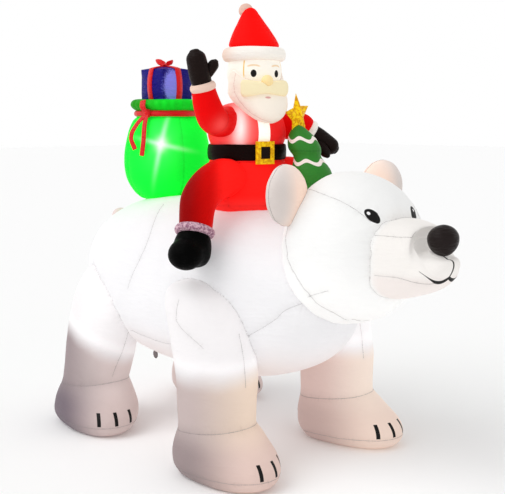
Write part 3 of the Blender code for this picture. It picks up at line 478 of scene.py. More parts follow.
def mesh_piece(name, parts, material, node):
    """One piece from puffed parts, each a grid with its seam distances; it stands for the node."""
    points, faces, gaps, runs = [], [], [], []
    offset = 0
    for grid, gap, run in parts:
        columns = grid.shape[1]
        quads = polygons(grid)
        total = grid.shape[0] * columns
        normal = normals_of(grid)
        middle_quad = quads[len(quads) // 2]
        flat = grid.reshape(-1, 3)
        corner, second, third = flat[middle_quad[:3]]
        turn = np.cross(second - corner, third - corner)
        inward = (turn * normal.reshape(-1, 3)[middle_quad[0]]).sum() < 0
        rings = ((grid[0].mean(axis=0), 0, True), (grid[-1].mean(axis=0), total - columns, False))
        caps = []
        for n, (_, start, is_first) in enumerate(rings):
            ring = start + np.arange(columns)
            after = np.roll(ring, -1)
            tip = np.full(columns, total + n)
            caps.append(np.stack((after, ring, tip) if is_first else (ring, after, tip), axis=-1))
        for group in [quads, *caps]:
            ordered = group[:, ::-1] if inward else group
            faces += (ordered + offset).tolist()
        points += [flat, [rings[0][0]], [rings[1][0]]]
        for store, values in ((gaps, gap), (runs, run)):
            store += [values.reshape(-1), [values[0].mean()], [values[-1].mean()]]
        offset += total + 2
    data = bpy.data.meshes.new(name)
    data.from_pydata(np.concatenate(points).tolist(), [], faces)
    for label, values in (("seam_gap", gaps), ("seam_run", runs)):
        layer = data.attributes.new(label, "FLOAT", "POINT")
        layer.data.foreach_set("value", np.concatenate(values).astype(np.float32))
    return dressed(name, data, material, node)


def dressed(name, data, material, node=None):
    """The mesh as a finished piece of the figure."""
    data.materials.clear()
    data.materials.append(material)
    data.shade_smooth()
    made = bpy.data.objects.new(name, data)
    bpy.context.scene.collection.objects.link(made)
    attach(made, "root")
    if node:
        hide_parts(node)
    return made


def stitch_nodes():
    """Geometry nodes that lay short thread stitches end to end along lines."""
    tree = bpy.data.node_groups.new("stitches along seams", "GeometryNodeTree")
    tree.interface.new_socket(name="Seams", in_out="INPUT", socket_type="NodeSocketGeometry")
    for label in ("Spacing", "Stitch Length", "Thickness"):
        tree.interface.new_socket(name=label, in_out="INPUT", socket_type="NodeSocketFloat")
    tree.interface.new_socket(name="Thread", in_out="INPUT", socket_type="NodeSocketMaterial")
    tree.interface.new_socket(name="Stitches", in_out="OUTPUT", socket_type="NodeSocketGeometry")
    given = tree.nodes.new("NodeGroupInput").outputs
    to_curve = tree.nodes.new("GeometryNodeMeshToCurve")
    to_points = tree.nodes.new("GeometryNodeCurveToPoints")
    to_points.mode = "LENGTH"
    stitch = tree.nodes.new("GeometryNodeMeshUVSphere")
    stitch.inputs["Segments"].default_value = 6
    stitch.inputs["Rings"].default_value = 4
    stitch.inputs["Radius"].default_value = 0.5
    size = tree.nodes.new("ShaderNodeCombineXYZ")
    laid = tree.nodes.new("GeometryNodeInstanceOnPoints")
    real = tree.nodes.new("GeometryNodeRealizeInstances")
    painted = tree.nodes.new("GeometryNodeSetMaterial")
    end = tree.nodes.new("NodeGroupOutput")
    for start, finish in (
        (given["Seams"], to_curve.inputs["Mesh"]),
        (to_curve.outputs["Curve"], to_points.inputs["Curve"]),
        (given["Spacing"], to_points.inputs["Length"]),
        (given["Thickness"], size.inputs["X"]),
        (given["Thickness"], size.inputs["Y"]),
        (given["Stitch Length"], size.inputs["Z"]),
        (to_points.outputs["Points"], laid.inputs["Points"]),
        (to_points.outputs["Rotation"], laid.inputs["Rotation"]),
        (stitch.outputs["Mesh"], laid.inputs["Instance"]),
        (size.outputs["Vector"], laid.inputs["Scale"]),
        (laid.outputs["Instances"], real.inputs["Geometry"]),
        (real.outputs["Geometry"], painted.inputs["Geometry"]),
        (given["Thread"], painted.inputs["Material"]),
        (painted.outputs["Geometry"], end.inputs["Stitches"]),
    ):
        tree.links.new(start, finish)
    return tree


STITCHES = stitch_nodes()


def stitched_piece(name, bags, material, length=0.0064, thickness=0.0014):
    """The stitches along every seam of some bags, as one plain mesh."""
    points, edges = [], []
    for bag in bags:
        for line in bag.thread_lines(thickness * 0.2):
            start = len(points)
            points += line
            edges += [(start + n, start + n + 1) for n in range(len(line) - 1)]
    data = bpy.data.meshes.new(name + "_lines")
    data.from_pydata(points, edges, [])
    holder = bpy.data.objects.new(name + "_lines", data)
    bpy.context.scene.collection.objects.link(holder)
    modifier = holder.modifiers.new("stitches", "NODES")
    modifier.node_group = STITCHES
    values = {"Spacing": length * 1.25, "Stitch Length": length, "Thickness": thickness, "Thread": material}
    for socket in STITCHES.interface.items_tree:
        if socket.in_out == "INPUT" and socket.name in values:
            modifier[socket.identifier] = values[socket.name]
    laid = holder.evaluated_get(bpy.context.evaluated_depsgraph_get())
    mesh = bpy.data.meshes.new_from_object(laid)
    bpy.data.objects.remove(holder)
    return dressed(name, mesh, material)


# Shader formulas


def linear(red, green, blue):
    """A colour on the 0 to 255 screen scale, as the shaders read it."""
    values = []
    for value in (red, green, blue):
        share = value / 255
        values.append(share / 12.92 if share <= 0.04045 else ((share + 0.055) / 1.055) ** 2.4)
    return (*values, 1.0)


class Graph:
    """A node tree written as formulas: each call adds a node and returns its output."""

    def __init__(self, tree):
        self.tree = tree

    def feed(self, node, key, value):
        if isinstance(value, bpy.types.NodeSocket):
            self.tree.links.new(value, node.inputs[key])
        else:
            node.inputs[key].default_value = value

    def node(self, kind, inputs=None, output=0, **settings):
        made = self.tree.nodes.new(kind)
        for key, value in settings.items():
            setattr(made, key, value)
        for key, value in (inputs or {}).items():
            self.feed(made, key, value)
        return made.outputs[output]

    def calc(self, operation, a, b=0.0, c=0.0, clamp=False):
        return self.node("ShaderNodeMath", {0: a, 1: b, 2: c}, operation=operation, use_clamp=clamp)

    def add(self, a, b):
        return self.calc("ADD", a, b)

    def times(self, a, b):
        return self.calc("MULTIPLY", a, b)

    def most(self, *values):
        result = values[0]
        for value in values[1:]:
            result = self.calc("MAXIMUM", result, value)
        return result

    def mix(self, share, a, b, way="MIX"):
        return self.node(
            "ShaderNodeMix", {0: share, 6: a, 7: b}, 2, data_type="RGBA", blend_type=way
        )

    def remap(self, value, low, high, to_low=0.0, to_high=1.0):
        return self.node(
            "ShaderNodeMapRange",
            {0: value, 1: low, 2: high, 3: to_low, 4: to_high},
            interpolation_type="SMOOTHSTEP",
        )

    def place(self):
        return self.node("ShaderNodeTexCoord", output="Object")

    def axes(self, vector):
        made = self.tree.nodes.new("ShaderNodeSeparateXYZ")
        self.feed(made, 0, vector)
        return made.outputs

    def local(self, centre, turn=(0, 0, 0), size=(1, 1, 1)):
        """The place measured from a centre, turned back and divided by a size."""
        return self.node(
            "ShaderNodeMapping",
            {0: self.place(), 1: tuple(centre), 2: tuple(turn), 3: tuple(size)},
            vector_type="TEXTURE",
        )

    def round_spot(self, centre, turn, size, soft=0.06):
        """1 inside an ellipsoid, 0 outside."""
        reach = self.node(
            "ShaderNodeVectorMath", {0: self.local(centre, turn, size)}, "Value", operation="LENGTH"
        )
        return self.remap(reach, 1.0 + soft, 1.0 - soft)

    def box_spot(self, centre, turn, size, soft=0.06):
        """1 inside a box of the given half sizes, 0 outside."""
        around = self.node(
            "ShaderNodeVectorMath", {0: self.local(centre, turn, size)}, operation="ABSOLUTE"
        )
        x, y, z = self.axes(around)
        return self.remap(self.most(x, y, z), 1.0 + soft, 1.0 - soft)

    def glow_spot(self, centre, turn, size):
        """A soft light that fades from its centre."""
        reach = self.node(
            "ShaderNodeVectorMath", {0: self.local(centre, turn, size)}, "Value", operation="LENGTH"
        )
        return self.calc("POWER", math.e, self.times(self.times(reach, reach), -1.0))

    def noise(self, vector, scale, detail=3.0, rough=0.5):
        return self.node(
            "ShaderNodeTexNoise", {"Vector": vector, "Scale": scale, "Detail": detail, "Roughness": rough}
        )

    def group(self, group, output, **inputs):
        made = self.tree.nodes.new("ShaderNodeGroup")
        made.node_tree = group
        for key, value in inputs.items():
            self.feed(made, key.replace("_", " "), value)
        return made.outputs[output] if output else made.outputs


def new_group(name, inputs, outputs):
    """An empty shader group with named float inputs and outputs."""
    tree = bpy.data.node_groups.new(name, "ShaderNodeTree")
    for label, value in inputs.items():
        socket = tree.interface.new_socket(name=label, in_out="INPUT", socket_type="NodeSocketFloat")
        socket.default_value = value
    for label in outputs:
        tree.interface.new_socket(name=label, in_out="OUTPUT", socket_type="NodeSocketFloat")
    start = tree.nodes.new("NodeGroupInput")
    end = tree.nodes.new("NodeGroupOutput")
    return Graph(tree), start.outputs, end


def sewn_seam_group():
    """The line of a seam, its thread and the small puckers beside it."""
    graph, given, end = new_group(
        "sewn seam",
        {"Line": 0.0016, "Pitch": 0.009, "Reach": 0.022},
        ("Crease", "Shade", "Pucker"),
    )
    gap = graph.node("ShaderNodeAttribute", output="Fac", attribute_name="seam_gap")
    run = graph.node("ShaderNodeAttribute", output="Fac", attribute_name="seam_run")
    crease = graph.remap(gap, graph.times(given["Line"], 1.7), graph.times(given["Line"], 0.4))
    shade = graph.calc("POWER", math.e, graph.times(graph.calc("DIVIDE", gap, given["Reach"]), -1.4))
    across = graph.node(
        "ShaderNodeCombineXYZ",
        {0: graph.calc("DIVIDE", run, given["Pitch"]), 1: graph.calc("DIVIDE", gap, given["Reach"]), 2: 0.0},
    )
    ripple = graph.noise(across, 1.0, 2.0)
    pucker = graph.times(graph.calc("SUBTRACT", ripple, 0.5), shade)
    graph.feed(end, "Crease", crease)
    graph.feed(end, "Shade", shade)
    graph.feed(end, "Pucker", pucker)
    return graph.tree


def nylon_group():
    """Thin woven nylon: its threads and the slack crinkles of a big bag."""
    graph, given, end = new_group(
        "thin nylon", {"Thread": 1500.0, "Crinkle": 16.0}, ("Weave", "Crinkles", "Mottle")
    )
    place = graph.place()
    x, y, z = graph.axes(place)
    warp = graph.calc("SINE", graph.times(graph.add(x, y), given["Thread"]))
    weft = graph.calc("SINE", graph.times(z, given["Thread"]))
    weave = graph.times(graph.add(warp, weft), 0.25)
    low_and_wide = graph.node(
        "ShaderNodeVectorMath", {0: place, 1: (1.0, 1.0, 4.0)}, operation="MULTIPLY"
    )
    crinkles = graph.noise(low_and_wide, given["Crinkle"], 5.0, 0.55)
    graph.feed(end, "Weave", weave)
    graph.feed(end, "Crinkles", crinkles)
    graph.feed(end, "Mottle", graph.noise(place, 5.0, 3.0))
    return graph.tree


SEWN_SEAM = sewn_seam_group()
NYLON = nylon_group()


def cloth_material(
    name,
    colour,
    roughness=0.5,
    glow=0.0,
    paint=None,
    light=None,
    line=(120, 112, 110),
    line_and_shade_share=0.55,
    crinkle=0.0035,
    sheen=0.0,
    coat=0.0,
    metallic=0.0,
    seam_scale=1.0,
    shown=1.0,
    specular=0.2,
):
    """Nylon cloth. paint(graph, colour) adds prints and painted light and shade, light(graph, base) gives the
    glow from inside.

    shown is the share of the colour that the cloth reflects; the rest shines through it.
    """
    made = bpy.data.materials.new(name)
    made.use_nodes = True
    graph = Graph(made.node_tree)
    shader = made.node_tree.nodes["Principled BSDF"]
    seam = graph.group(
        SEWN_SEAM, None, Line=0.0016 * seam_scale, Pitch=0.009 * seam_scale, Reach=0.022 * seam_scale
    )
    nylon = graph.group(NYLON, None)
    base = colour(graph) if callable(colour) else graph.mix(0.0, colour, colour)
    mottle = graph.remap(nylon["Mottle"], 0.3, 0.7, 0.98, 1.0)
    grey = graph.node("ShaderNodeCombineColor", {0: mottle, 1: mottle, 2: mottle})
    base = graph.mix(1.0, base, grey, "MULTIPLY")
    # Painted shade: near a seam the colour goes towards the line colour, both for the seam's own line and as
    # shade painted in its groove and in the hollows of the puckers.
    pucker_shade = graph.times(graph.calc("MAXIMUM", seam["Pucker"], 0.0), 0.9)
    shade = graph.add(graph.times(seam["Shade"], 0.10), pucker_shade)
    seam_line_and_shade = graph.add(graph.times(seam["Crease"], 0.7), shade)
    base = graph.mix(graph.times(seam_line_and_shade, line_and_shade_share), base, linear(*line))
    if paint:
        base = paint(graph, base)
    graph.feed(shader, "Base Color", graph.mix(shown, (0, 0, 0, 1), base))
    height = graph.add(
        graph.times(seam["Pucker"], 0.0028 * seam_scale),
        graph.add(graph.times(nylon["Crinkles"], crinkle), graph.times(nylon["Weave"], 0.00006)),
    )
    bump = graph.node("ShaderNodeBump", {"Height": height, "Distance": 1.0, "Strength": 0.8})
    graph.feed(shader, "Normal", bump)
    shader.inputs["Roughness"].default_value = roughness
    shader.inputs["Specular IOR Level"].default_value = specular
    shader.inputs["Metallic"].default_value = metallic
    shader.inputs["Sheen Weight"].default_value = sheen
    shader.inputs["Coat Weight"].default_value = coat
    shader.inputs["Coat Roughness"].default_value = 0.25
    if glow:
        graph.feed(shader, "Emission Color", light(graph, base) if light else base)
        shader.inputs["Emission Strength"].default_value = glow
    return made


def thread_material(name, colour):
    """Spun sewing thread: fine twisted strands."""
    made = bpy.data.materials.new(name)
    made.use_nodes = True
    graph = Graph(made.node_tree)
    shader = made.node_tree.nodes["Principled BSDF"]
    strands = graph.noise(graph.place(), 900.0, 2.0)
    worn = graph.remap(strands, 0.3, 0.7, 0.8, 1.0)
    grey = graph.node("ShaderNodeCombineColor", {0: worn, 1: worn, 2: worn})
    graph.feed(shader, "Base Color", graph.mix(1.0, grey, colour, "MULTIPLY"))
    height = graph.times(strands, 0.0003)
    graph.feed(shader, "Normal", graph.node("ShaderNodeBump", {"Height": height, "Distance": 1.0}))
    shader.inputs["Roughness"].default_value = 0.8
    shader.inputs["Specular IOR Level"].default_value = 0.1
    return made


# The bear's cloths

SCREEN_WHITE = linear(247, 246, 247)
LEG_GLOW_Z = 0.487
CLAW_TURNS = {
    "front_right": math.radians(4),
    "front_left": math.radians(0),
    "rear_right": math.radians(-14),
    "rear_left": math.radians(14),
}
CLAW_SPACING = math.radians(13)
CLAW_REACH = 0.31
CLAW_Z = 0.094
CLAW_HALF_SIZE = (0.10, 0.0084, 0.030)
PAW_SEAM_Z = 0.205
SOLE_SEAM_Z = 0.040


def leg_axis(name):
    """The middle of a leg's sole."""
    end, word = name.split("_")
    side = RIGHT if word == "right" else LEFT
    if end == "front":
        return np.array((FRONT_LEG_X + FRONT_LEG_STAGGER * max(side, 0), side * LEG_SPREAD, 0.0))
    return np.array((REAR_LEG_X, side * LEG_SPREAD, 0.0))


def body_colour(graph):
    """Lit white, with painted shade under the belly that makes it a little greyer and warmer."""
    _, _, z = graph.axes(graph.place())
    # Painted shade: greyer and warmer under the belly.
    under = graph.remap(z, 0.60, 0.34)
    return graph.mix(under, linear(246, 245, 247), linear(240, 230, 228))


def head_colour(graph):
    """Lit white, warmer on the muzzle and shaded under the jaw."""
    x, _, z = graph.axes(graph.place())
    muzzle = graph.remap(x, HEAD_CENTRE[0] + 0.24, HEAD_CENTRE[0] + 0.29)
    warm = graph.mix(muzzle, linear(248, 248, 247), linear(244, 240, 236))
    low = graph.times(graph.remap(z, 0.925, 0.885), graph.remap(x, 0.80, 0.86))
    return graph.mix(low, warm, linear(240, 232, 228))


def aside_from(graph, from_x, from_y):
    """How far each spot lies towards the bear's left front from a place, in metres."""
    x, y, _ = graph.axes(graph.place())
    along_x = graph.times(graph.calc("SUBTRACT", x, from_x), 0.68)
    return graph.add(along_x, graph.times(graph.calc("SUBTRACT", y, from_y), 0.73))


def leg_places(graph):
    """Shares for front, front left and the side towards the bear's left front; height over the lamps."""
    x, y, z = graph.axes(graph.place())
    front = graph.remap(x, -0.5, -0.1)
    far_front = graph.times(front, graph.remap(y, -0.05, 0.05))
    axis_x = graph.add(REAR_LEG_X, graph.times(front, FRONT_LEG_X - REAR_LEG_X))
    axis_y = graph.times(graph.calc("SIGN", y), LEG_SPREAD)
    aside = aside_from(graph, axis_x, axis_y)
    rear = graph.calc("SUBTRACT", 1.0, front)
    slant = graph.times(aside, graph.times(rear, 0.5))
    over = graph.add(graph.calc("SUBTRACT", z, LEG_GLOW_Z), slant)
    far_rear = graph.times(rear, graph.remap(y, -0.05, 0.05))
    # warm: the lit side towards the bear's left front, which takes painted warm light.
    warm = graph.calc("MAXIMUM", graph.remap(aside, -0.12, 0.16), far_rear)
    return front, far_front, warm, over


def leg_colour(graph):
    """Painted light and shade: white where the lamps reach; painted shade in lilac and beige below them, and
    painted warm light on the lit side.
    """
    front, far_front, warm, over = leg_places(graph)
    paw = graph.mix(
        front,
        graph.mix(warm, linear(126, 112, 122), linear(222, 202, 198)),
        graph.mix(warm, linear(166, 149, 149), linear(236, 208, 198)),
    )
    paw = graph.mix(far_front, paw, graph.mix(warm, linear(218, 192, 186), linear(244, 220, 206)))
    shin = graph.mix(
        front,
        graph.mix(warm, linear(166, 150, 152), linear(238, 222, 219)),
        graph.mix(warm, linear(212, 194, 191), linear(255, 232, 212)),
    )
    shin = graph.mix(far_front, shin, graph.mix(warm, linear(244, 217, 210), linear(255, 236, 222)))
    _, _, z = graph.axes(graph.place())
    lower = graph.mix(graph.remap(z, 0.12, 0.26), paw, shin)
    wander = graph.times(graph.calc("SUBTRACT", graph.noise(graph.place(), 3.0, 2.0), 0.5), 0.10)
    return graph.mix(graph.remap(graph.add(over, wander), -0.11, -0.01), lower, linear(246, 243, 244))


def leg_light(graph, base):
    """The lamp string shows as a bright band across each leg."""
    _, far_front, warm, over = leg_places(graph)
    lit = graph.remap(over, -0.14, 0.08, 0.08, 0.25)
    lit = graph.add(lit, graph.add(graph.times(far_front, 0.10), graph.times(warm, 0.13)))
    off = graph.calc("DIVIDE", over, 0.030)
    band = graph.calc("POWER", math.e, graph.times(graph.times(off, off), -1.0))
    return graph.mix(graph.add(lit, graph.times(band, 0.11)), (0, 0, 0, 1), base)


def claw_marks(graph, base):
    """Three short black strips on the toes of each paw."""
    marks = []
    for name, turn in CLAW_TURNS.items():
        centre = leg_axis(name)
        for n in (-1, 0, 1):
            angle = turn + n * CLAW_SPACING
            spot = centre + (math.cos(angle) * CLAW_REACH, math.sin(angle) * CLAW_REACH, CLAW_Z)
            marks.append(graph.box_spot(spot, (0, 0, angle), CLAW_HALF_SIZE, 0.03))
    return graph.mix(graph.most(*marks), base, linear(14, 12, 12))


def facing(outward, along):
    """The turn of a print that lies square to outward, with its length near along."""
    z = Vector(outward).normalized()
    x = Vector(along)
    x = (x - z * x.dot(z)).normalized()
    y = z.cross(x)
    return tuple(Matrix((x, y, z)).transposed().to_euler())


EYES = {RIGHT: np.array((0.799, -0.133, 1.125)), LEFT: np.array((0.830, 0.096, 1.127))}
EYE_LONG = np.array((0.69, -0.43, -0.58))
HEAD_SEAM_BEND = (0.515, 0.948)
MOUTH_Z = 0.905
MOUTH_REACH = 0.118


def head_prints(graph, base):
    """Eyes with their highlights, the line under the nose and the smile."""
    black = linear(12, 10, 10)
    for side in (RIGHT, LEFT):
        mirror = np.array((1, side, 1))
        centre = EYES[side]
        turn = facing(centre - HEAD_CENTRE, EYE_LONG * mirror)
        base = graph.mix(graph.round_spot(centre, turn, (0.037, 0.0225, 0.06), 0.03), base, black)
        shine = centre - EYE_LONG * mirror * 0.013 + np.array((0.0, 0.006 * side, 0.004))
        base = graph.mix(graph.round_spot(shine, turn, (0.0075, 0.0065, 0.05), 0.1), base, SCREEN_WHITE)
    x, y, z = graph.axes(graph.place())
    aside = graph.calc("ABSOLUTE", y)
    smile = graph.add(
        MOUTH_Z, graph.add(graph.times(aside, -0.675), graph.times(graph.times(aside, aside), 7.9))
    )
    off = graph.calc("ABSOLUTE", graph.calc("SUBTRACT", z, smile))
    width = graph.remap(aside, MOUTH_REACH, 0.03, 0.0010, 0.0074)
    inked = graph.remap(graph.calc("SUBTRACT", off, width), 0.0006, -0.0006)
    stroke = graph.times(inked, graph.remap(x, 0.93, 0.95))
    stroke = graph.times(stroke, graph.remap(aside, MOUTH_REACH + 0.001, MOUTH_REACH - 0.001))
    line = graph.times(graph.remap(aside, 0.0048, 0.0036), graph.remap(x, 1.0, 1.01))
    line = graph.times(line, graph.times(graph.remap(z, MOUTH_Z - 0.002, MOUTH_Z), graph.remap(z, 1.01, 1.0)))
    return graph.mix(graph.most(stroke, line), base, black)


def even_light(share):
    """A glow that takes a share of the cloth's own colour all over."""
    return lambda graph, base: graph.mix(share, (0, 0, 0, 1), base)


def light_below(share, more, high, low):
    """A glow that grows between two heights, so that the underside isn't dull."""

    def light(graph, base):
        _, _, z = graph.axes(graph.place())
        return graph.mix(graph.remap(z, high, low, share, share + more), (0, 0, 0, 1), base)

    return light


BODY_CLOTH = cloth_material(
    "white body nylon", body_colour, 0.55, 1.0, None, light_below(0.27, 0.08, 0.66, 0.42), shown=0.70
)
HEAD_CLOTH = cloth_material(
    "white head nylon", head_colour, 0.55, 1.0, head_prints, light_below(0.27, 0.12, 1.02, 0.82), shown=0.70
)
LEG_CLOTH = cloth_material(
    "white leg nylon", leg_colour, 0.55, 1.0, claw_marks, leg_light, shown=0.70
)


def ear_colour(graph):
    """Painted light and shade: peach towards the middle of the head, greyer outside and paler at the top."""
    _, y, z = graph.axes(graph.place())
    outer_shade = graph.remap(graph.calc("ABSOLUTE", y), 0.24, 0.36)
    side = graph.mix(outer_shade, linear(248, 218, 200), linear(206, 196, 191))
    return graph.mix(graph.times(graph.remap(z, 1.20, 1.36), 0.5), side, linear(240, 232, 228))


GREY_THREAD = thread_material("grey thread", linear(164, 158, 158))
EAR_CLOTH = cloth_material("beige ear nylon", ear_colour, 0.55, 1.0, light=even_light(0.16))
TAIL_CLOTH = cloth_material("beige tail nylon", linear(222, 202, 200), 0.55, 1.0, light=even_light(0.10))
ZIP_CLOTH = cloth_material("grey zip tape", linear(120, 112, 112), 0.7, 0.0)
NOSE_CLOTH = cloth_material(
    "black nose nylon", linear(30, 22, 21), 0.34, line=(5, 4, 4), crinkle=0.010, specular=0.12
)


# The bear's bags


def barrel_grid():
    """The body's long round bag."""
    rows, columns = 300, 300
    share_along = -np.cos(np.linspace(0.0025, 0.9975, rows) * math.pi)
    x = BODY_MIDDLE_X + share_along * BODY_LENGTH / 2
    share = (1 - np.abs(share_along) ** BODY_FULLNESS) ** (1 / 2.1)
    width = BODY_WIDTH / 2 * share * (1 - 0.05 * share_along)
    height = BODY_HEIGHT / 2 * share
    centre = BODY_MIDDLE_Z - BODY_HEIGHT * 0.025 * share_along
    angle = np.linspace(0, math.tau, columns, endpoint=False)
    a, b = superellipse(angle, 1.0, 1.0, BODY_SECTION_POWER)
    y = width[:, None] * a
    z = centre[:, None] + height[:, None] * b
    return np.stack((np.broadcast_to(x[:, None], y.shape), y, z), axis=-1)


def back_z(x):
    """The top of the barrel at x."""
    along = (x - BODY_MIDDLE_X) / (BODY_LENGTH / 2)
    share = (1 - min(1.0, abs(along)) ** BODY_FULLNESS) ** (1 / 2.1)
    return BODY_MIDDLE_Z - BODY_HEIGHT * 0.025 * along + BODY_HEIGHT / 2 * share


# Levels of a leg: height (up to 1 in the paw, from 1 to 2 above it), reach to the toes and to the
# heel as shares of the paw's length, half-width as a share of the leg's radius, and the shares of the
# thigh's extra reach and of the top's lean back
LEG_SHARES = (
    (0.00, 0.58, 0.25, 0.80, 0, 0),
    (0.06, 0.66, 0.30, 0.93, 0, 0),
    (0.24, 0.72, 0.345, 1.08, 0, 0),
    (0.50, 0.67, 0.355, 1.09, 0, 0),
    (0.78, 0.49, 0.345, 1.00, 0, 0),
    (1.00, 0.355, 0.34, 0.93, 0, 0),
    (1.30, 0.36, 0.355, 0.96, 0.5, 0),
    (1.62, 0.375, 0.365, 0.99, 1, 0.29),
    (1.82, 0.35, 0.345, 0.93, 0.6, 0.62),
    (1.93, 0.25, 0.25, 0.68, 0.2, 0.84),
    (2.00, 0.02, 0.02, 0.05, 0, 1),
)


LEG_SIZES = {
    "front": {
        "height": FRONT_LEG_HEIGHT,
        "splay": FRONT_PAW_SPLAY,
        "lean": (0.0, 0.02),
        "top_lean": FRONT_LEG_TOP_LEAN,
    },
    "rear": {
        "height": REAR_LEG_HEIGHT,
        "splay": REAR_PAW_SPLAY,
        "lean": (0.10, 0.07),
        "top_lean": REAR_LEG_TOP_LEAN,
        "thigh": REAR_THIGH_REACH,
        "heel_cut": REAR_HEEL_CUT,
        "top_tuck": REAR_LEG_TOP_TUCK,
    },
}


def leg_grid(name, height, splay, lean, top_lean, thigh=0.0, heel_cut=0.0, top_tuck=0.0):
    """A leg with its paw, as level outlines from the flat sole to the round top."""
    side = RIGHT if name.endswith("right") else LEFT
    shares = smooth(LEG_SHARES, np.linspace(0, 1, 170))
    sole = np.linspace(0.03, 0.97, 9)[:, None] * shares[0]
    level, toes, heel, wide, full, back = np.concatenate((sole, shares)).T
    z = np.where(level <= 1, PAW_HEIGHT * level, PAW_HEIGHT + (height - PAW_HEIGHT) * (level - 1))
    z = np.maximum(z, 0.0)
    turn = side * splay * np.where(level <= 1, 1, 2 - level)
    angle = np.linspace(0, math.tau, 200, endpoint=False)
    a, b = superellipse(angle, 1.0, 1.0, 2.15)
    back = np.clip(back, 0, 1)
    ahead = PAW_LENGTH * toes + thigh * np.clip(full, 0, 1)
    behind = PAW_LENGTH * heel * (1 - heel_cut * back)
    reach = np.where(a > 0, ahead[:, None], behind[:, None]) * a
    across = wide[:, None] * LEG_RADIUS * b
    c, s = np.cos(turn)[:, None], np.sin(turn)[:, None]
    axis = leg_axis(name)
    rise = z[:, None] / height
    axis_x = axis[0] + lean[0] * rise - top_lean * back[:, None]
    axis_y = axis[1] - side * (lean[1] * rise + top_tuck * back[:, None])
    x = axis_x + reach * c - across * s
    y = axis_y + reach * s + across * c
    return np.stack((x, y, np.broadcast_to(z[:, None], x.shape)), axis=-1)


def skull_grid():
    """The round head, with its poles hidden in the body and in the muzzle."""
    grid = egg((HEAD_RADIUS, HEAD_RADIUS * 1.02, HEAD_RADIUS), HEAD_CENTRE, 200, 240, "x")
    x = grid[..., 0]
    back = x < HEAD_CENTRE[0]
    x[back] = HEAD_CENTRE[0] + (x[back] - HEAD_CENTRE[0]) * HEAD_BACK_SHARE
    return grid


def muzzle_grid():
    """The muzzle, from inside the head to the nose."""
    length = HEAD_RADIUS * 0.5 + MUZZLE_REACH
    start = HEAD_CENTRE + (HEAD_RADIUS * 0.5, 0, 0)
    stations = []
    for share, width, height, drop in (
        (0.00, 1.12, 1.06, -0.04),
        (0.40, 1.08, 1.06, -0.05),
        (0.66, 0.98, 0.98, -0.05),
        (0.84, 0.84, 0.84, -0.04),
        (0.92, 0.64, 0.66, 0.01),
        (0.94, 0.25, 0.25, 0.06),
    ):
        spot = start + (length * share, 0, MUZZLE_HEIGHT * drop)
        stations.append((spot, MUZZLE_WIDTH / 2 * width, MUZZLE_HEIGHT / 2 * height))
    grid = tube(stations, 150, 200, 2.5, (0.1, 0.06))
    below = HEAD_CENTRE[2] - grid[..., 2]
    along = (grid[..., 0] - HEAD_CENTRE[0]) / (HEAD_RADIUS + MUZZLE_REACH)
    grid[..., 0] -= np.where(below > 0, below * CHIN_SLOPE * along, 0)
    return grid


def mirrored(points):
    """The same line on the bear's left side."""
    return [(x, -y, z) for x, y, z in points]


def level_line(bag, value):
    """The ordered points where a value given at each grid point passes 0, one for each column."""
    flips = value[:-1] * value[1:] <= 0
    row = flips.argmax(axis=0)
    column = np.arange(value.shape[1])
    low, high = value[row, column], value[row + 1, column]
    share = (low / (low - high + 1e-12))[:, None]
    line = bag.grid[row, column] * (1 - share) + bag.grid[row + 1, column] * share
    return line[flips.any(axis=0)][::5]


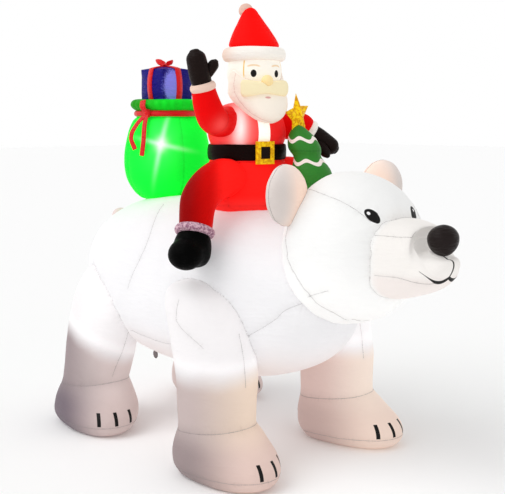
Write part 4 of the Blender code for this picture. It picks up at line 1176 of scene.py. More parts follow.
def build_bear():
    """The white bags, and the seams between them; the body's bag is handed on."""
    body = Bag(barrel_grid())
    legs = {}
    for end, sizes in LEG_SIZES.items():
        for word in SIDE_NAMES.values():
            name = f"{end}_{word}"
            legs[name] = Bag(leg_grid(name, **sizes))
    skull = Bag(skull_grid())
    muzzle = Bag(muzzle_grid())

    for leg in legs.values():
        body.meet(leg)
    body.meet(skull)
    skull.meet(muzzle)
    flank = (
        (-0.401, -0.201, 1.085), (-0.311, -0.351, 0.969), (-0.321, -0.402, 0.868), (-0.393, -0.419, 0.724),
    )
    chest = ((0.30, -0.315, 0.60), (0.397, -0.257, 0.677), (0.438, -0.232, 0.721), (0.50, -0.15, 0.76))
    belly = ((-0.47, -0.36, 0.50), (-0.363, -0.353, 0.494), (-0.185, -0.35, 0.49), (0.02, -0.35, 0.50))
    for line, strength in ((flank, 0.3), (chest, 0.8), (belly, 0.8)):
        body.sew(line, strength).sew(mirrored(line), strength)
    body.sew_column(0.25, 0.06, 0.9, 0.5)

    brow = (
        (0.45, -0.17, 1.23), (0.58, -0.198, 1.206), (0.668, -0.199, 1.186), (0.736, -0.18, 1.156),
        (0.799, -0.148, 1.105),
    )
    dart = ((0.589, -0.26, 0.802), (0.635, -0.262, 0.822), (0.685, -0.255, 0.836))
    for line, strength in ((brow, 0.5), (dart, 0.5)):
        skull.sew(line, strength).sew(mirrored(line), strength)
    below_bend = HEAD_SEAM_BEND[1] - skull.grid[..., 2]
    slope = np.where(below_bend > 0, 0.60, 0.28)
    skull.sew(level_line(skull, skull.grid[..., 0] - HEAD_SEAM_BEND[0] - below_bend * slope), 0.9, True)
    side = ((0.827, -0.147, 1.053), (0.928, -0.126, 1.056), (1.03, -0.062, 1.055))
    low = ((0.844, -0.164, 0.907), (0.927, -0.15, 0.905), (0.992, -0.12, 0.889), (1.045, -0.064, 0.883))
    for line in (side, low):
        muzzle.sew(line, 0.6).sew(mirrored(line), 0.6)

    for name, leg in legs.items():
        forward = leg.grid[..., 0] - leg_axis(name)[0]
        height = leg.grid[..., 2]
        leg.sew(level_line(leg, height - PAW_SEAM_Z - 0.12 * forward), 0.8, True)
        leg.sew(level_line(leg, height - SOLE_SEAM_Z - 0.05 * forward), 0.45, True)
    panel = ((0.335, -0.36, 0.63), (0.341, -0.356, 0.516), (0.337, -0.359, 0.40))
    outer = ((0.08, -0.49, 0.74), (0.084, -0.499, 0.693), (0.103, -0.507, 0.65), (0.239, -0.512, 0.572))
    shin = ((-0.53, -0.33, 0.50), (-0.576, -0.356, 0.35), (-0.589, -0.378, 0.26))
    for word, as_placed in (("right", list), ("left", mirrored)):
        legs["front_" + word].sew(as_placed(panel), 0.5).sew(as_placed(outer), 0.35)
        legs["rear_" + word].sew(as_placed(shin), 0.5)

    mesh_piece("bear_body_bag", [body.puffed(1)], BODY_CLOTH, "bear_body")
    for name, leg in legs.items():
        grid, gap, run = leg.puffed(11 + len(name), sway=0.003, sway_size=0.16)
        grid[..., 2] = np.maximum(grid[..., 2], 0.0)
        end, word = name.split("_")
        node = f"bear_{end}_leg_{word}"
        mesh_piece(f"bear_{end}_leg_bag_{word}", [(grid, gap, run)], LEG_CLOTH, node)
    head_parts = [
        skull.puffed(31, pitch=0.018, pucker=0.0027, reach=0.040, sway=0.003),
        muzzle.puffed(32, pitch=0.018, pucker=0.0012, reach=0.026, pinch=0.004, sway=0.0008, sway_size=0.12),
    ]
    mesh_piece("bear_head_bag", head_parts, HEAD_CLOTH, "bear_head")
    build_nose()
    ears = [build_ear(side, word, skull) for side, word in SIDE_NAMES.items()]
    build_tail(body)
    stitched_piece(
        "bear_seam_stitches", [body, *legs.values(), skull, muzzle, *ears], GREY_THREAD
    )
    return body


def build_nose():
    """The black nose, wide above and pointed below."""
    centre = middle("bear_nose") * (1, 0, 1)
    tip_x = high_corner("bear_nose")[0]
    half = NOSE_WIDTH / 2
    grid = egg((half, half, half), (0, 0, 0), 90, 110, "x")
    grid[..., 1] *= 1 + 0.45 * grid[..., 2] / NOSE_WIDTH
    grid += (tip_x - half, 0, centre[2])
    nose = Bag(grid)
    nose.sew_column(0.75, 0.5, 0.98, 0.4)
    part = nose.puffed(
        41, pitch=0.010, pucker=0.0008, reach=0.014, pinch=0.0015, sway=0.0008, sway_size=0.04
    )
    mesh_piece("bear_nose_bag", [part], NOSE_CLOTH, "bear_nose")


def build_ear(side, word, skull):
    """A flat round ear that faces forward and leans out."""
    grid = egg((EAR_THICKNESS / 2, EAR_DIAMETER * 0.47, EAR_DIAMETER / 2), (0, 0, 0), 110, 150, "x")
    turn = Matrix.Rotation(side * math.radians(-30), 4, "X")
    yaw = Matrix.Rotation(side * math.radians(-8), 4, "Z")
    centre = HEAD_CENTRE + (-HEAD_RADIUS * 0.24, side * HEAD_RADIUS * 0.92, HEAD_RADIUS * 0.72)
    ear = Bag(turned_by(Matrix.Translation(Vector(centre)) @ yaw @ turn, grid))
    ear.meet(skull, 0.8)
    ear.sew_row(55, 0.8)
    part = ear.puffed(
        51 + side, pitch=0.014, pucker=0.0012, reach=0.02, pinch=0.003, sway=0.0015, sway_size=0.08
    )
    mesh_piece("bear_ear_bag_" + word, [part], EAR_CLOTH, "bear_ear_" + word)
    return ear


def build_tail(body):
    """The little round tail."""
    grid = egg((0.062, 0.05, 0.05), (0, 0, 0), 50, 60, "x")
    turn = Matrix.Rotation(math.radians(30), 4, "Y")
    centre = Vector((BODY_MIDDLE_X - BODY_LENGTH * 0.48, 0, BODY_MIDDLE_Z + BODY_HEIGHT * 0.30))
    tail = Bag(turned_by(Matrix.Translation(centre) @ turn, grid))
    tail.meet(body, 0.8)
    part = tail.puffed(
        61, pitch=0.010, pucker=0.0012, reach=0.014, pinch=0.002, sway=0.001, sway_size=0.05
    )
    mesh_piece("bear_tail_bag", [part], TAIL_CLOTH, "bear_tail")


BODY_BAG = build_bear()


# The rider's cloths

SEAT_Z = back_z(RIDER_X)
SADDLE_FRAME = Matrix.Translation((RIDER_X, 0, SEAT_Z))
RIDER_FRAME = SADDLE_FRAME @ Matrix.Rotation(RIDER_TURN, 4, "Z")

# The torso's outline as shares of the rider's height: (half-width, height)
HIP_SHARES = ((0.17, -0.05), (0.213, -0.01), (0.225, 0.06), (0.212, 0.14), (0.192, 0.215))
BELT_SHARES = (
    (0.180, 0.214), (0.195, 0.217), (0.200, 0.235), (0.200, 0.268), (0.195, 0.289), (0.180, 0.292),
)
BELT_MIDDLE_SHARE = 0.253
BELT_RADIUS_SHARE = 0.200
BUCKLE_HALF_SHARE = 0.049
BUCKLE_TALL_SHARE = 1.12
BUCKLE_WINDOW_SHARE = 0.53
COAT_SHARES = (
    (0.185, 0.288),
    (0.198, 0.34),
    (0.188, 0.40),
    (0.158, 0.455),
    (0.10, 0.49),
    (0.0, 0.505),
)

# Each arm from inside the shoulder to the wrist, as shares of the rider's height
ARM_SHARES = {
    "right": (
        (0.01, -0.12, 0.415),
        (0.05, -0.215, 0.398),
        (0.06, -0.275, 0.418),
        (0.06, -0.310, 0.480),
        (0.06, -0.330, 0.545),
    ),
    "left": (
        (0.02, 0.12, 0.395),
        (0.05, 0.20, 0.385),
        (0.078, 0.252, 0.382),
        (0.098, 0.288, 0.378),
        (0.112, 0.311, 0.360),
    ),
}
TRIM_RISE_SHARE = 0.726
TRIM_HALF_SHARE = 0.035
HAT_X_SHARE = 0.04
HEAD_SIDE_SHARE = 0.018
FACE_X_SHARE = 0.045
FACE_RISE_SHARE = 0.635
BEARD_RISE_SHARE = 0.541
BEARD_HALF_SHARE = 0.148
BEARD_SEAM_SHARE = 0.27
HAIR_SET_BACK = 0.45


def rider_size(share):
    """A share of the rider's height, in metres."""
    return share * RIDER_HEIGHT


def head_spot(x, z):
    """A place on the head's axis, which stands a little to the rider's left."""
    return np.array((rider_size(x), rider_size(HEAD_SIDE_SHARE), rider_size(z)))


def seated(x, y, z):
    """A place given in shares of the rider's height, from the seat, in the rider's own frame."""
    return np.array(RIDER_FRAME @ (Vector((x, y, z)) * RIDER_HEIGHT))


def rider_axes(graph):
    """Right, left and up of the rider, in metres from the seat."""
    return graph.axes(graph.local((RIDER_X, 0, SEAT_Z), (0, 0, RIDER_TURN)))


COAT_LAMP = (0.045, -0.13, 1.455)
LIT_RED = linear(250, 30, 26)
SHADED_RED = linear(138, 2, 3)
CLOTH_WHITE = linear(254, 250, 244)


def coat_paint(graph, base):
    """The white front strip and the bright place where the lamp stands behind the cloth."""
    turn = (0, 0, math.radians(-40))
    glow = graph.glow_spot(COAT_LAMP, turn, (0.2, 0.030, 0.085))
    wide = graph.glow_spot(COAT_LAMP, turn, (0.2, 0.080, 0.150))
    base = graph.mix(graph.times(wide, 0.95), base, linear(250, 116, 112))
    base = graph.mix(glow, base, linear(255, 240, 237))
    x, y, _ = rider_axes(graph)
    strip = graph.times(
        graph.remap(graph.calc("ABSOLUTE", y), 0.0295, 0.0275), graph.remap(x, 0.02, 0.03)
    )
    return graph.mix(strip, base, CLOTH_WHITE)


def hip_paint(graph, base):
    """Painted shade: a little darker toward the creases at the legs."""
    _, _, z = rider_axes(graph)
    low = graph.remap(z, 0.05, 0.0)
    return graph.mix(graph.times(low, 0.35), base, linear(232, 60, 58))


def leg_paint(graph, base):
    """Painted shade in deep red on the outside; painted light on the inside, as bright as the seat."""
    aside = aside_from(graph, RIDER_X, 0.0)
    base = graph.mix(graph.remap(aside, -0.15, -0.25), base, SHADED_RED)
    return graph.mix(graph.remap(aside, -0.16, -0.08), base, LIT_RED)


def leg_lamp(graph, base):
    """More light from inside towards the seat."""
    share = graph.remap(aside_from(graph, RIDER_X, 0.0), -0.22, -0.10, 0.07, 0.29)
    return graph.mix(share, (0, 0, 0, 1), base)


def sleeve_paint(graph, base):
    """The lamp's bright place in the bend of the raised arm."""
    lit = graph.glow_spot((0.06, -0.252, 1.463), (0, 0, 0), (0.05, 0.035, 0.035))
    return graph.mix(graph.times(lit, 0.65), base, linear(252, 92, 88))


def face_paint(graph, base):
    """Round black eyes, pale brows and the hair's edge."""
    for side, apart in ((RIGHT, -0.047), (LEFT, 0.069)):
        angle = RIDER_TURN + side * math.radians(30)
        eye = seated(0.158, apart, 0.631)
        out = (math.cos(angle), math.sin(angle), 0)
        turn = facing(out, (0, 0, 1))
        base = graph.mix(graph.round_spot(eye, turn, (0.0160, 0.0130, 0.05), 0.05), base, linear(8, 6, 6))
        brow_spot = eye + UP * 0.031
        brow = graph.round_spot(brow_spot, turn, (0.0075, 0.027, 0.05), 0.25)
        under = graph.round_spot(brow_spot - UP * 0.0075, turn, (0.0080, 0.027, 0.06), 0.25)
        arc = graph.times(brow, graph.calc("SUBTRACT", 1.0, under))
        base = graph.mix(graph.times(arc, 0.75), base, linear(236, 196, 140))
        hair_angle = RIDER_TURN + side * math.radians(50)
        hair = facing((math.cos(hair_angle), math.sin(hair_angle), 0), (0, 0, 1))
        hair_line = seated(0.130, HEAD_SIDE_SHARE + side * 0.104, 0.665)
        edge = graph.box_spot(hair_line, hair, (0.045, 0.0028, 0.06), 0.3)
        base = graph.mix(edge, base, linear(238, 196, 104))
    return base


def beard_paint(graph, base):
    """The small mouth under the moustache."""
    mouth = graph.round_spot(seated(0.21, 0.0, 0.516), (0, 0, RIDER_TURN), (0.06, 0.013, 0.0045), 0.3)
    return graph.mix(mouth, base, linear(222, 168, 164))


def mauve_colour(graph):
    """Pale and dark tufts."""
    tufts = graph.noise(graph.place(), 90.0, 3.0, 0.7)
    return graph.mix(graph.remap(tufts, 0.40, 0.60), linear(148, 102, 124), linear(216, 180, 192))


def plush_colour(graph):
    """White plush that goes cream away from the lamps, and rosier at the top."""
    _, _, z = graph.axes(graph.place())
    aside = aside_from(graph, RIDER_X, 0.0)
    lit = graph.mix(graph.remap(aside, -0.13, -0.02), linear(240, 208, 192), linear(255, 250, 242))
    return graph.mix(graph.remap(z, 1.930, 1.945), lit, linear(232, 192, 176))


RED_HIPS = cloth_material(
    "lit red nylon", LIT_RED, 0.5, 1.0, hip_paint, even_light(0.29), (120, 6, 6), 0.6, specular=0.03
)
RED_COAT = cloth_material(
    "red coat nylon", linear(232, 30, 32), 0.5, 1.0, coat_paint, even_light(0.30), (150, 20, 20), 0.6,
    specular=0.06,
)
RED_LEGS = cloth_material(
    "red trouser nylon", linear(196, 9, 7), 0.5, 1.0, leg_paint, leg_lamp, (110, 4, 4), 0.6, specular=0.03
)
RED_SLEEVES = cloth_material(
    "red sleeve nylon", linear(222, 7, 9), 0.5, 1.0, sleeve_paint, even_light(0.18), (130, 4, 4), 0.7,
    specular=0.03,
)
RED_HAT = cloth_material(
    "red hat nylon", linear(236, 12, 10), 0.5, 1.0, None, even_light(0.28), (170, 6, 6), 0.5, specular=0.03
)
BLACK_SHINE = cloth_material(
    "black boot nylon", linear(4, 4, 4), 0.42, line=(1, 1, 1), crinkle=0.006, specular=0.02
)
MITTEN_CLOTH = cloth_material(
    "black mitten nylon", linear(28, 18, 16), 0.38, line=(10, 7, 7), crinkle=0.010, specular=0.06
)
BELT_CLOTH = cloth_material(
    "black belt nylon", linear(20, 8, 7), 0.36, line=(4, 2, 2), crinkle=0.006, specular=0.03
)
FUR_CLOTH = cloth_material(
    "cream plush", plush_colour, 0.8, 1.0, None, even_light(0.24), (214, 150, 140), 0.5, 0.01, shown=0.75
)
BEARD_CLOTH = cloth_material(
    "beard nylon", linear(254, 244, 230), 0.6, 1.0, beard_paint, even_light(0.26), (206, 150, 138), 0.7,
    shown=0.74,
)
MOUSTACHE_CLOTH = cloth_material(
    "moustache nylon", linear(255, 242, 200), 0.6, 1.0, None, even_light(0.26), (226, 176, 130), 0.5,
    shown=0.74,
)
FACE_CLOTH = cloth_material(
    "face nylon", linear(255, 250, 240), 0.6, 1.0, face_paint, even_light(0.30), (232, 208, 170), 0.5,
    shown=0.76,
)
NOSE_SKIN = cloth_material(
    "nose nylon", linear(255, 230, 170), 0.5, 1.0, None, even_light(0.28), (226, 170, 80), 0.8, shown=0.74
)
SHORT_FUR = cloth_material(
    "mauve plush", mauve_colour, 0.8, 1.0, None, even_light(0.04), (120, 70, 90), 0.5, 0.02
)


# The rider's bags


def torso_grid(shares, rows, columns=220):
    """A round of the rider's trunk from (half-width, height) shares."""
    profile = [(rider_size(r), rider_size(h)) for r, h in shares]
    return turned_by(RIDER_FRAME, turned(profile, rows, columns, depth_share=TORSO_DEPTH_SHARE))


def small_bag(bag, seed, scale=1.0):
    """A small bag's points: finer puckers and smaller dents than the bear's."""
    return bag.puffed(
        seed, pitch=0.012 * scale, pucker=0.0011 * scale, reach=0.018 * scale, pinch=0.0032 * scale,
        sway=0.0020 * scale, sway_size=0.10 * scale,
    )


def fused(centre, pole, *grids):
    """One smooth bag round several that overlap, as seen from a centre inside them all."""
    rows, columns = 120, 150
    spin = np.array(Vector(pole).to_track_quat("Z", "Y").to_matrix())
    ways = egg((1, 1, 1), (0, 0, 0), rows, columns) @ spin.T
    trees = [tree_of(grid) for grid in grids]
    reach = np.zeros((rows, columns))
    for i in range(rows):
        for j in range(columns):
            hits = [tree.ray_cast(Vector(centre), Vector(ways[i, j]))[3] for tree in trees]
            reach[i, j] = max(hit or 0 for hit in hits)
    for _ in range(60):
        beside = np.roll(reach, 1, axis=1) + np.roll(reach, -1, axis=1)
        reach = (reach * 2 + beside) / 4
        reach[1:-1] = (reach[1:-1] * 2 + reach[:-2] + reach[2:]) / 4
    return centre + ways * reach[..., None]


def leg_path(side):
    """Hip, knee and ankle over the bear's flank."""
    half = BODY_WIDTH / 2
    spots = (
        (0.04, side * half * 0.20 / RIDER_HEIGHT, 0.125),
        (0.075, side * half * 0.56 / RIDER_HEIGHT, 0.125),
        (0.110, side * half * 0.86 / RIDER_HEIGHT, 0.045),
        (0.140, side * half * 0.97 / RIDER_HEIGHT, -0.080),
    )
    return [np.array(SADDLE_FRAME @ (Vector(s) * RIDER_HEIGHT)) for s in spots]


def build_leg(side, word, hips, body):
    """A bent trouser leg with its fur cuff and boot."""
    path = leg_path(side)
    thick = rider_size(0.090)
    widths = ((1.05, 1.05), (1.06, 1.04), (0.97, 0.96), (0.86, 0.86))
    stations = [(p, thick * w, thick * d) for p, (w, d) in zip(path, widths)]
    leg = Bag(tube(stations, 130, 150, dome=(0.3, 0.15)))
    leg.meet(hips, 0.9)
    leg.meet(body, 0.6)
    knee_rows = (np.linspace(0.30, 0.62, 9) * leg.grid.shape[0]).astype(int)
    knee_column = int(leg.grid.shape[1] * (0.62 if side == RIGHT else 0.88))
    leg.sew(leg.grid[knee_rows, knee_column], 0.4, stitched=False)
    mesh_piece("santa_leg_bag_" + word, [small_bag(leg, 71)], RED_LEGS, "santa_leg_" + word)

    start = path[3]
    ahead = start - path[2]
    ahead /= np.linalg.norm(ahead)
    cuff_long = rider_size(0.042)
    cuff_stations = [
        (start + ahead * cuff_long * share, thick * wide, thick * wide)
        for share, wide in ((-0.05, 0.80), (0.12, 0.97), (0.5, 1.05), (0.88, 0.97), (1.05, 0.80))
    ]
    cuff = Bag(tube(cuff_stations, 44, 160, dome=(0.1, 0.1)))
    mesh_piece(
        "santa_boot_cuff_fur_" + word,
        [small_bag(cuff, 72, 0.8)],
        SHORT_FUR,
        "santa_boot_cuff_" + word,
    )

    top = start + ahead * cuff_long
    shaft_stations = [
        (top + ahead * BOOT_LENGTH * share, thick * wide, thick * deep)
        for share, wide, deep in (
            (-0.05, 0.84, 0.84),
            (0.25, 0.96, 0.98),
            (0.50, 0.98, 1.0),
            (0.72, 0.80, 0.80),
            (0.82, 0.25, 0.25),
        )
    ]
    shaft = tube(shaft_stations, 80, 130, dome=(0.1, 0.3))
    shaft_middle = top + ahead * BOOT_LENGTH * 0.46
    toe_middle = shaft_middle + (BOOT_LENGTH * 0.14, side * BOOT_LENGTH * 0.30, 0)
    toe = egg(np.array((0.48, 0.45, 0.40)) * BOOT_LENGTH, toe_middle, 80, 120, "x")
    boot = Bag(fused((shaft_middle + toe_middle) / 2, ahead, shaft, toe))
    boot.sew_column(0.25, 0.30, 0.92, 0.35)
    mesh_piece(
        "santa_boot_bag_" + word, [small_bag(boot, 73)], BLACK_SHINE, "santa_boot_" + word
    )


def build_arm(word, coat):
    """A sleeve, its fur cuff and a mitten with a thumb."""
    spots = [np.array(SADDLE_FRAME @ (Vector(p) * RIDER_HEIGHT)) for p in ARM_SHARES[word]]
    thick = rider_size(0.064)
    widths = ((1.0, 1.0), (1.10, 1.10), (1.14, 1.10), (1.04, 1.00), (0.88, 0.88))
    stations = [(p, thick * w, thick * d) for p, (w, d) in zip(spots, widths)]
    sleeve = Bag(tube(stations, 130, 130, dome=(0.3, 0.1)))
    sleeve.meet(coat, 0.9)
    if word == "right":
        elbow = (
            (0.0, -0.215, 1.535), (0.045, -0.205, 1.517), (0.052, -0.225, 1.455), (0.014, -0.252, 1.429),
            (-0.02, -0.245, 1.42),
        )
        sleeve.sew(elbow, 0.8)
    part = small_bag(sleeve, 81)
    mesh_piece("santa_sleeve_bag_" + word, [part], RED_SLEEVES, "santa_sleeve_" + word)

    ahead = spots[4] - spots[3]
    ahead /= np.linalg.norm(ahead)
    long = rider_size(0.036)
    cuff_stations = [
        (spots[4] + ahead * long * share, thick * wide, thick * wide)
        for share, wide in ((-0.05, 0.76), (0.12, 0.90), (0.5, 0.97), (0.88, 0.90), (1.05, 0.76))
    ]
    cuff = Bag(tube(cuff_stations, 40, 130, dome=(0.1, 0.1)))
    mesh_piece(
        "santa_sleeve_cuff_fur_" + word,
        [small_bag(cuff, 82, 0.7)],
        FUR_CLOTH,
        "santa_sleeve_cuff_" + word,
    )

    thumb_side = np.array((0.6, 1, 0.1) if word == "right" else (0.5, -0.5, -0.6))
    thumb_side /= np.linalg.norm(thumb_side)
    wrist = spots[4] + ahead * long
    length = rider_size(0.155)
    wide = rider_size(0.052)
    palm_stations = [
        (wrist + ahead * length * share, wide * w, wide * d)
        for share, w, d in (
            (-0.04, 0.92, 0.92),
            (0.28, 1.02, 0.98),
            (0.58, 0.98, 0.92),
            (0.84, 0.90, 0.80),
            (1.0, 0.46, 0.40),
        )
    ]
    palm = Bag(tube(palm_stations, 90, 110, dome=(0.1, 0.3)))
    root = wrist + ahead * length * 0.18 + thumb_side * wide * 0.35
    run = ahead * length * 0.48 + thumb_side * wide * 1.45
    thumb_stations = [
        (root + run * share, wide * w, wide * d)
        for share, w, d in ((0, 0.52, 0.50), (0.40, 0.56, 0.52), (0.80, 0.50, 0.46), (1.0, 0.20, 0.18))
    ]
    thumb = Bag(tube(thumb_stations, 60, 80, dome=(0.1, 0.3)))
    palm.meet(thumb, 0.7)
    mesh_piece(
        "santa_mitten_bag_" + word,
        [small_bag(palm, 83, 0.8), small_bag(thumb, 84, 0.6)],
        MITTEN_CLOTH,
        "santa_mitten_" + word,
    )


def build_buckle():
    """A bright square plate with a raised rim round the dark cloth in its middle."""
    half_wide = rider_size(BUCKLE_HALF_SHARE)
    half_tall = half_wide * BUCKLE_TALL_SHARE
    belt_middle = rider_size(BELT_MIDDLE_SHARE)
    belly = rider_size(BELT_RADIUS_SHARE) * TORSO_DEPTH_SHARE + 0.004
    ring = [(-1, -1), (1, -1), (1, 1), (-1, 1)]
    steps = ((0.0, 0.0), (0.0, 0.010), (0.06, 0.0125), (0.40, 0.0125), (0.46, 0.010), (0.46, 0.0055))
    points = []
    for inset, rise in steps:
        for corner in range(4):
            a, b = np.array(ring[corner]), np.array(ring[(corner + 1) % 4])
            for n in range(12):
                y, z = (a + (b - a) * n / 12) * (1 - inset)
                y, z = y * half_wide, z * half_tall
                out = belly - 0.5 * y * y / belly + rise - 0.002
                points.append(np.array(RIDER_FRAME @ Vector((out, y, belt_middle + z))))
    grid = np.array(points).reshape(len(steps), 48, 3)
    far = np.full(grid.shape[:2], 0.5)
    plate = mesh_piece("santa_buckle_plate", [(grid, far, far)], GOLD_PLATE, "santa_buckle")
    plate.data.shade_flat()


def buckle_paint(graph, base):
    """The dark cloth that shows in the plate's window."""
    _, y, z = rider_axes(graph)
    half_window = rider_size(BUCKLE_HALF_SHARE) * BUCKLE_WINDOW_SHARE
    across = graph.calc("DIVIDE", graph.calc("ABSOLUTE", y), half_window)
    tall = graph.calc("SUBTRACT", z, rider_size(BELT_MIDDLE_SHARE))
    up = graph.calc("DIVIDE", graph.calc("ABSOLUTE", tall), half_window * BUCKLE_TALL_SHARE)
    window = graph.remap(graph.most(across, up), 1.02, 0.98)
    return graph.mix(window, base, linear(20, 10, 6))


def foil(name, bright, dark, paint=None):
    """Foil-faced cloth with a fine crumple."""

    def mottled(graph):
        crumple = graph.noise(graph.place(), 70.0, 4.0, 0.6)
        return graph.mix(graph.remap(crumple, 0.40, 0.62), dark, bright)

    return cloth_material(
        name, mottled, 0.32, 1.0, paint, even_light(0.28), (150, 96, 4), 0.5, crinkle=0.02, coat=0.05,
        specular=0.06,
    )


GOLD_PLATE = foil("gold foil plate", linear(240, 196, 20), linear(206, 150, 10), buckle_paint)
GOLD_STAR = foil("gold foil star", linear(246, 204, 18), linear(206, 142, 8))


def build_head(coat):
    """Face, beard, moustache and nose."""
    face_radii = np.array((rider_size(0.135), rider_size(0.136), rider_size(0.160)))
    face_middle = head_spot(FACE_X_SHARE, FACE_RISE_SHARE)
    face = Bag(turned_by(RIDER_FRAME, egg(face_radii, face_middle, 150, 200)))
    beard_radii = np.array((rider_size(0.128), rider_size(0.146), rider_size(BEARD_HALF_SHARE)))
    grid = egg(beard_radii, (0, 0, 0), 170, 220)
    front = grid[..., 0] / beard_radii[0]
    level = -grid[..., 2] / beard_radii[2]
    down = np.maximum(0, level)
    up = np.clip(level, -0.999, 0)
    fuller = (1 - up**4) ** 0.25 / (1 - up**2) ** 0.5
    grid[..., 1] *= fuller * (1 - 0.10 * down)
    grid[..., 0] *= np.where(front < 0, fuller, 1 + HAIR_SET_BACK * up)
    grid[..., 0] += rider_size(0.13) * down
    grid = turned_by(RIDER_FRAME, grid + head_spot(0.07, BEARD_RISE_SHARE))
    beard = Bag(grid)
    beard.meet(face)
    beard.meet(coat, 0.8)
    for side in (RIGHT, LEFT):
        half = np.where(beard_half_mask(grid, side), front - BEARD_SEAM_SHARE, 1.0)
        beard.sew(column_line(beard, half), 0.8)
    mesh_piece("santa_head_bag", [small_bag(face, 91)], FACE_CLOTH, "santa_head")
    mesh_piece("santa_beard_bag", [small_bag(beard, 92)], BEARD_CLOTH, "santa_beard")

    reach = rider_size(0.118)
    stations = []
    for share, tall, back in (
        (-1.0, 0.026, 0.040),
        (-0.90, 0.040, 0.034),
        (-0.5, 0.036, 0.012),
        (0.0, 0.027, 0.0),
        (0.5, 0.036, 0.012),
        (0.90, 0.040, 0.034),
        (1.0, 0.026, 0.040),
    ):
        spot = np.array((rider_size(0.200 - back), reach * share, rider_size(0.560)))
        stations.append((spot, rider_size(0.026), rider_size(tall)))
    moustache = Bag(turned_by(RIDER_FRAME, tube(stations, 110, 110, 4.0, (0.04, 0.04))))
    moustache.meet(beard, 0.8)
    moustache.sew_column(0.25, 0.08, 0.92, 0.5).sew_column(0.75, 0.08, 0.92, 0.5)
    mesh_piece(
        "santa_moustache_bag",
        [small_bag(moustache, 93, 0.7)],
        MOUSTACHE_CLOTH,
        "santa_moustache",
    )
    nose_radius = rider_size(0.029)
    nose_middle = (rider_size(0.208), 0, rider_size(0.594))
    nose = Bag(turned_by(RIDER_FRAME, egg((nose_radius,) * 3, nose_middle, 60, 80, "x")))
    nose.meet(moustache, 0.6)
    mesh_piece("santa_nose_bag", [small_bag(nose, 94, 0.4)], NOSE_SKIN, "santa_nose")


def beard_half_mask(grid, side):
    """Which of the beard's points lie on one side of the rider's middle."""
    aside = turned_by(RIDER_FRAME.inverted(), grid)[..., 1] - rider_size(HEAD_SIDE_SHARE)
    return aside * side > -0.002


def column_line(bag, value):
    """The ordered points where a value passes 0 along each row, top to bottom."""
    after = np.roll(value, -1, axis=1)
    flips = value * after <= 0
    flips &= np.abs(value) < 0.3
    flips &= np.abs(after) < 0.3
    rows = np.flatnonzero(flips.any(axis=1))
    column = flips[rows].argmax(axis=1)
    return bag.grid[rows, column][::5]


def build_hat():
    """The fur roll, the cone and the pompom."""
    half = rider_size(TRIM_HALF_SHARE)
    radius = rider_size(0.158)
    roll_profile = [
        (radius * wide, half * rise)
        for wide, rise in (
            (0.55, -0.92), (0.82, -1), (0.95, -0.72), (1, 0), (0.95, 0.72), (0.82, 1), (0.55, 0.92),
        )
    ]
    centre = head_spot(HAT_X_SHARE, TRIM_RISE_SHARE)
    roll = Bag(turned_by(RIDER_FRAME, turned(roll_profile, 70, 240, centre)))
    roll.sew_row(16, 0.5)
    roll.sew_column(0.62, 0.15, 0.85, 0.9)
    mesh_piece("santa_hat_trim_fur", [small_bag(roll, 95)], FUR_CLOTH, "santa_hat_trim")

    height = rider_size(0.198)
    cone_profile = [
        (rider_size(r), height * h)
        for r, h in (
            (0.100, -0.06),
            (0.117, 0.0),
            (0.122, 0.08),
            (0.104, 0.30),
            (0.076, 0.55),
            (0.046, 0.80),
            (0.026, 0.95),
            (0.0, 1.0),
        )
    ]
    base = head_spot(HAT_X_SHARE, TRIM_RISE_SHARE + TRIM_HALF_SHARE)
    cone = Bag(turned_by(RIDER_FRAME, turned(cone_profile, 120, 180, base, lean=(-0.24, 0.0))))
    cone.meet(roll, 0.9)
    cone.sew_column(0.70, 0.1, 0.97, 0.6).sew_column(0.2, 0.1, 0.97, 0.6)
    mesh_piece("santa_hat_bag", [small_bag(cone, 96)], RED_HAT, "santa_hat")

    ball_radius = rider_size(0.036)
    ball_middle = head_spot(-0.022, 0.943) - (0, rider_size(0.012), 0)
    pompom = Bag(turned_by(RIDER_FRAME, egg((ball_radius,) * 3, ball_middle, 70, 90)))
    pompom.meet(cone, 0.7)
    pompom.sew_column(0.6, 0.05, 0.95, 0.5)
    mesh_piece("santa_pompom_ball", [small_bag(pompom, 97, 0.5)], FUR_CLOTH, "santa_pompom")


def build_rider(body):
    """The rider, from the hips up; the bag of the hips is handed on."""
    hips = Bag(torso_grid(HIP_SHARES, 100))
    belt = Bag(torso_grid(BELT_SHARES, 60))
    coat = Bag(torso_grid(COAT_SHARES, 130))
    hips.meet(body, 0.9)
    for side, word in SIDE_NAMES.items():
        build_leg(side, word, hips, body)
    build_head(coat)
    for word in SIDE_NAMES.values():
        build_arm(word, coat)
    hips.sew_row(97, 0.6).sew_row(28, 0.35)
    hips.sew_column(0.86, 0.25, 0.9, 0.3)
    coat.sew_row(3, 0.6)
    coat.sew_column(0.71, 0.05, 0.5, 0.35).sew_column(0.29, 0.05, 0.5, 0.35)
    mesh_piece("santa_hips_bag", [small_bag(hips, 61)], RED_HIPS, "santa_hips")
    mesh_piece("santa_belt_strap", [small_bag(belt, 62, 0.7)], BELT_CLOTH, "santa_belt")
    mesh_piece("santa_coat_bag", [small_bag(coat, 63)], RED_COAT, "santa_coat")
    build_buckle()
    build_hat()
    return hips


HIPS_BAG = build_rider(BODY_BAG)


# The sack, the parcel and the tree

SACK_BASE_Z = back_z(SACK_X) - BURIED
SACK_TOP_Z = SACK_BASE_Z + SACK_HEIGHT
COLLAR_BASE_Z = SACK_TOP_Z + SACK_BAND_HEIGHT
PARCEL_BASE_Z = COLLAR_BASE_Z + COLLAR_HEIGHT - BURIED
PARCEL_CENTRE = np.array((SACK_X, 0, PARCEL_BASE_Z + PARCEL_HEIGHT / 2))
SACK_LAMP = np.array((-0.492, -0.146, 1.369))


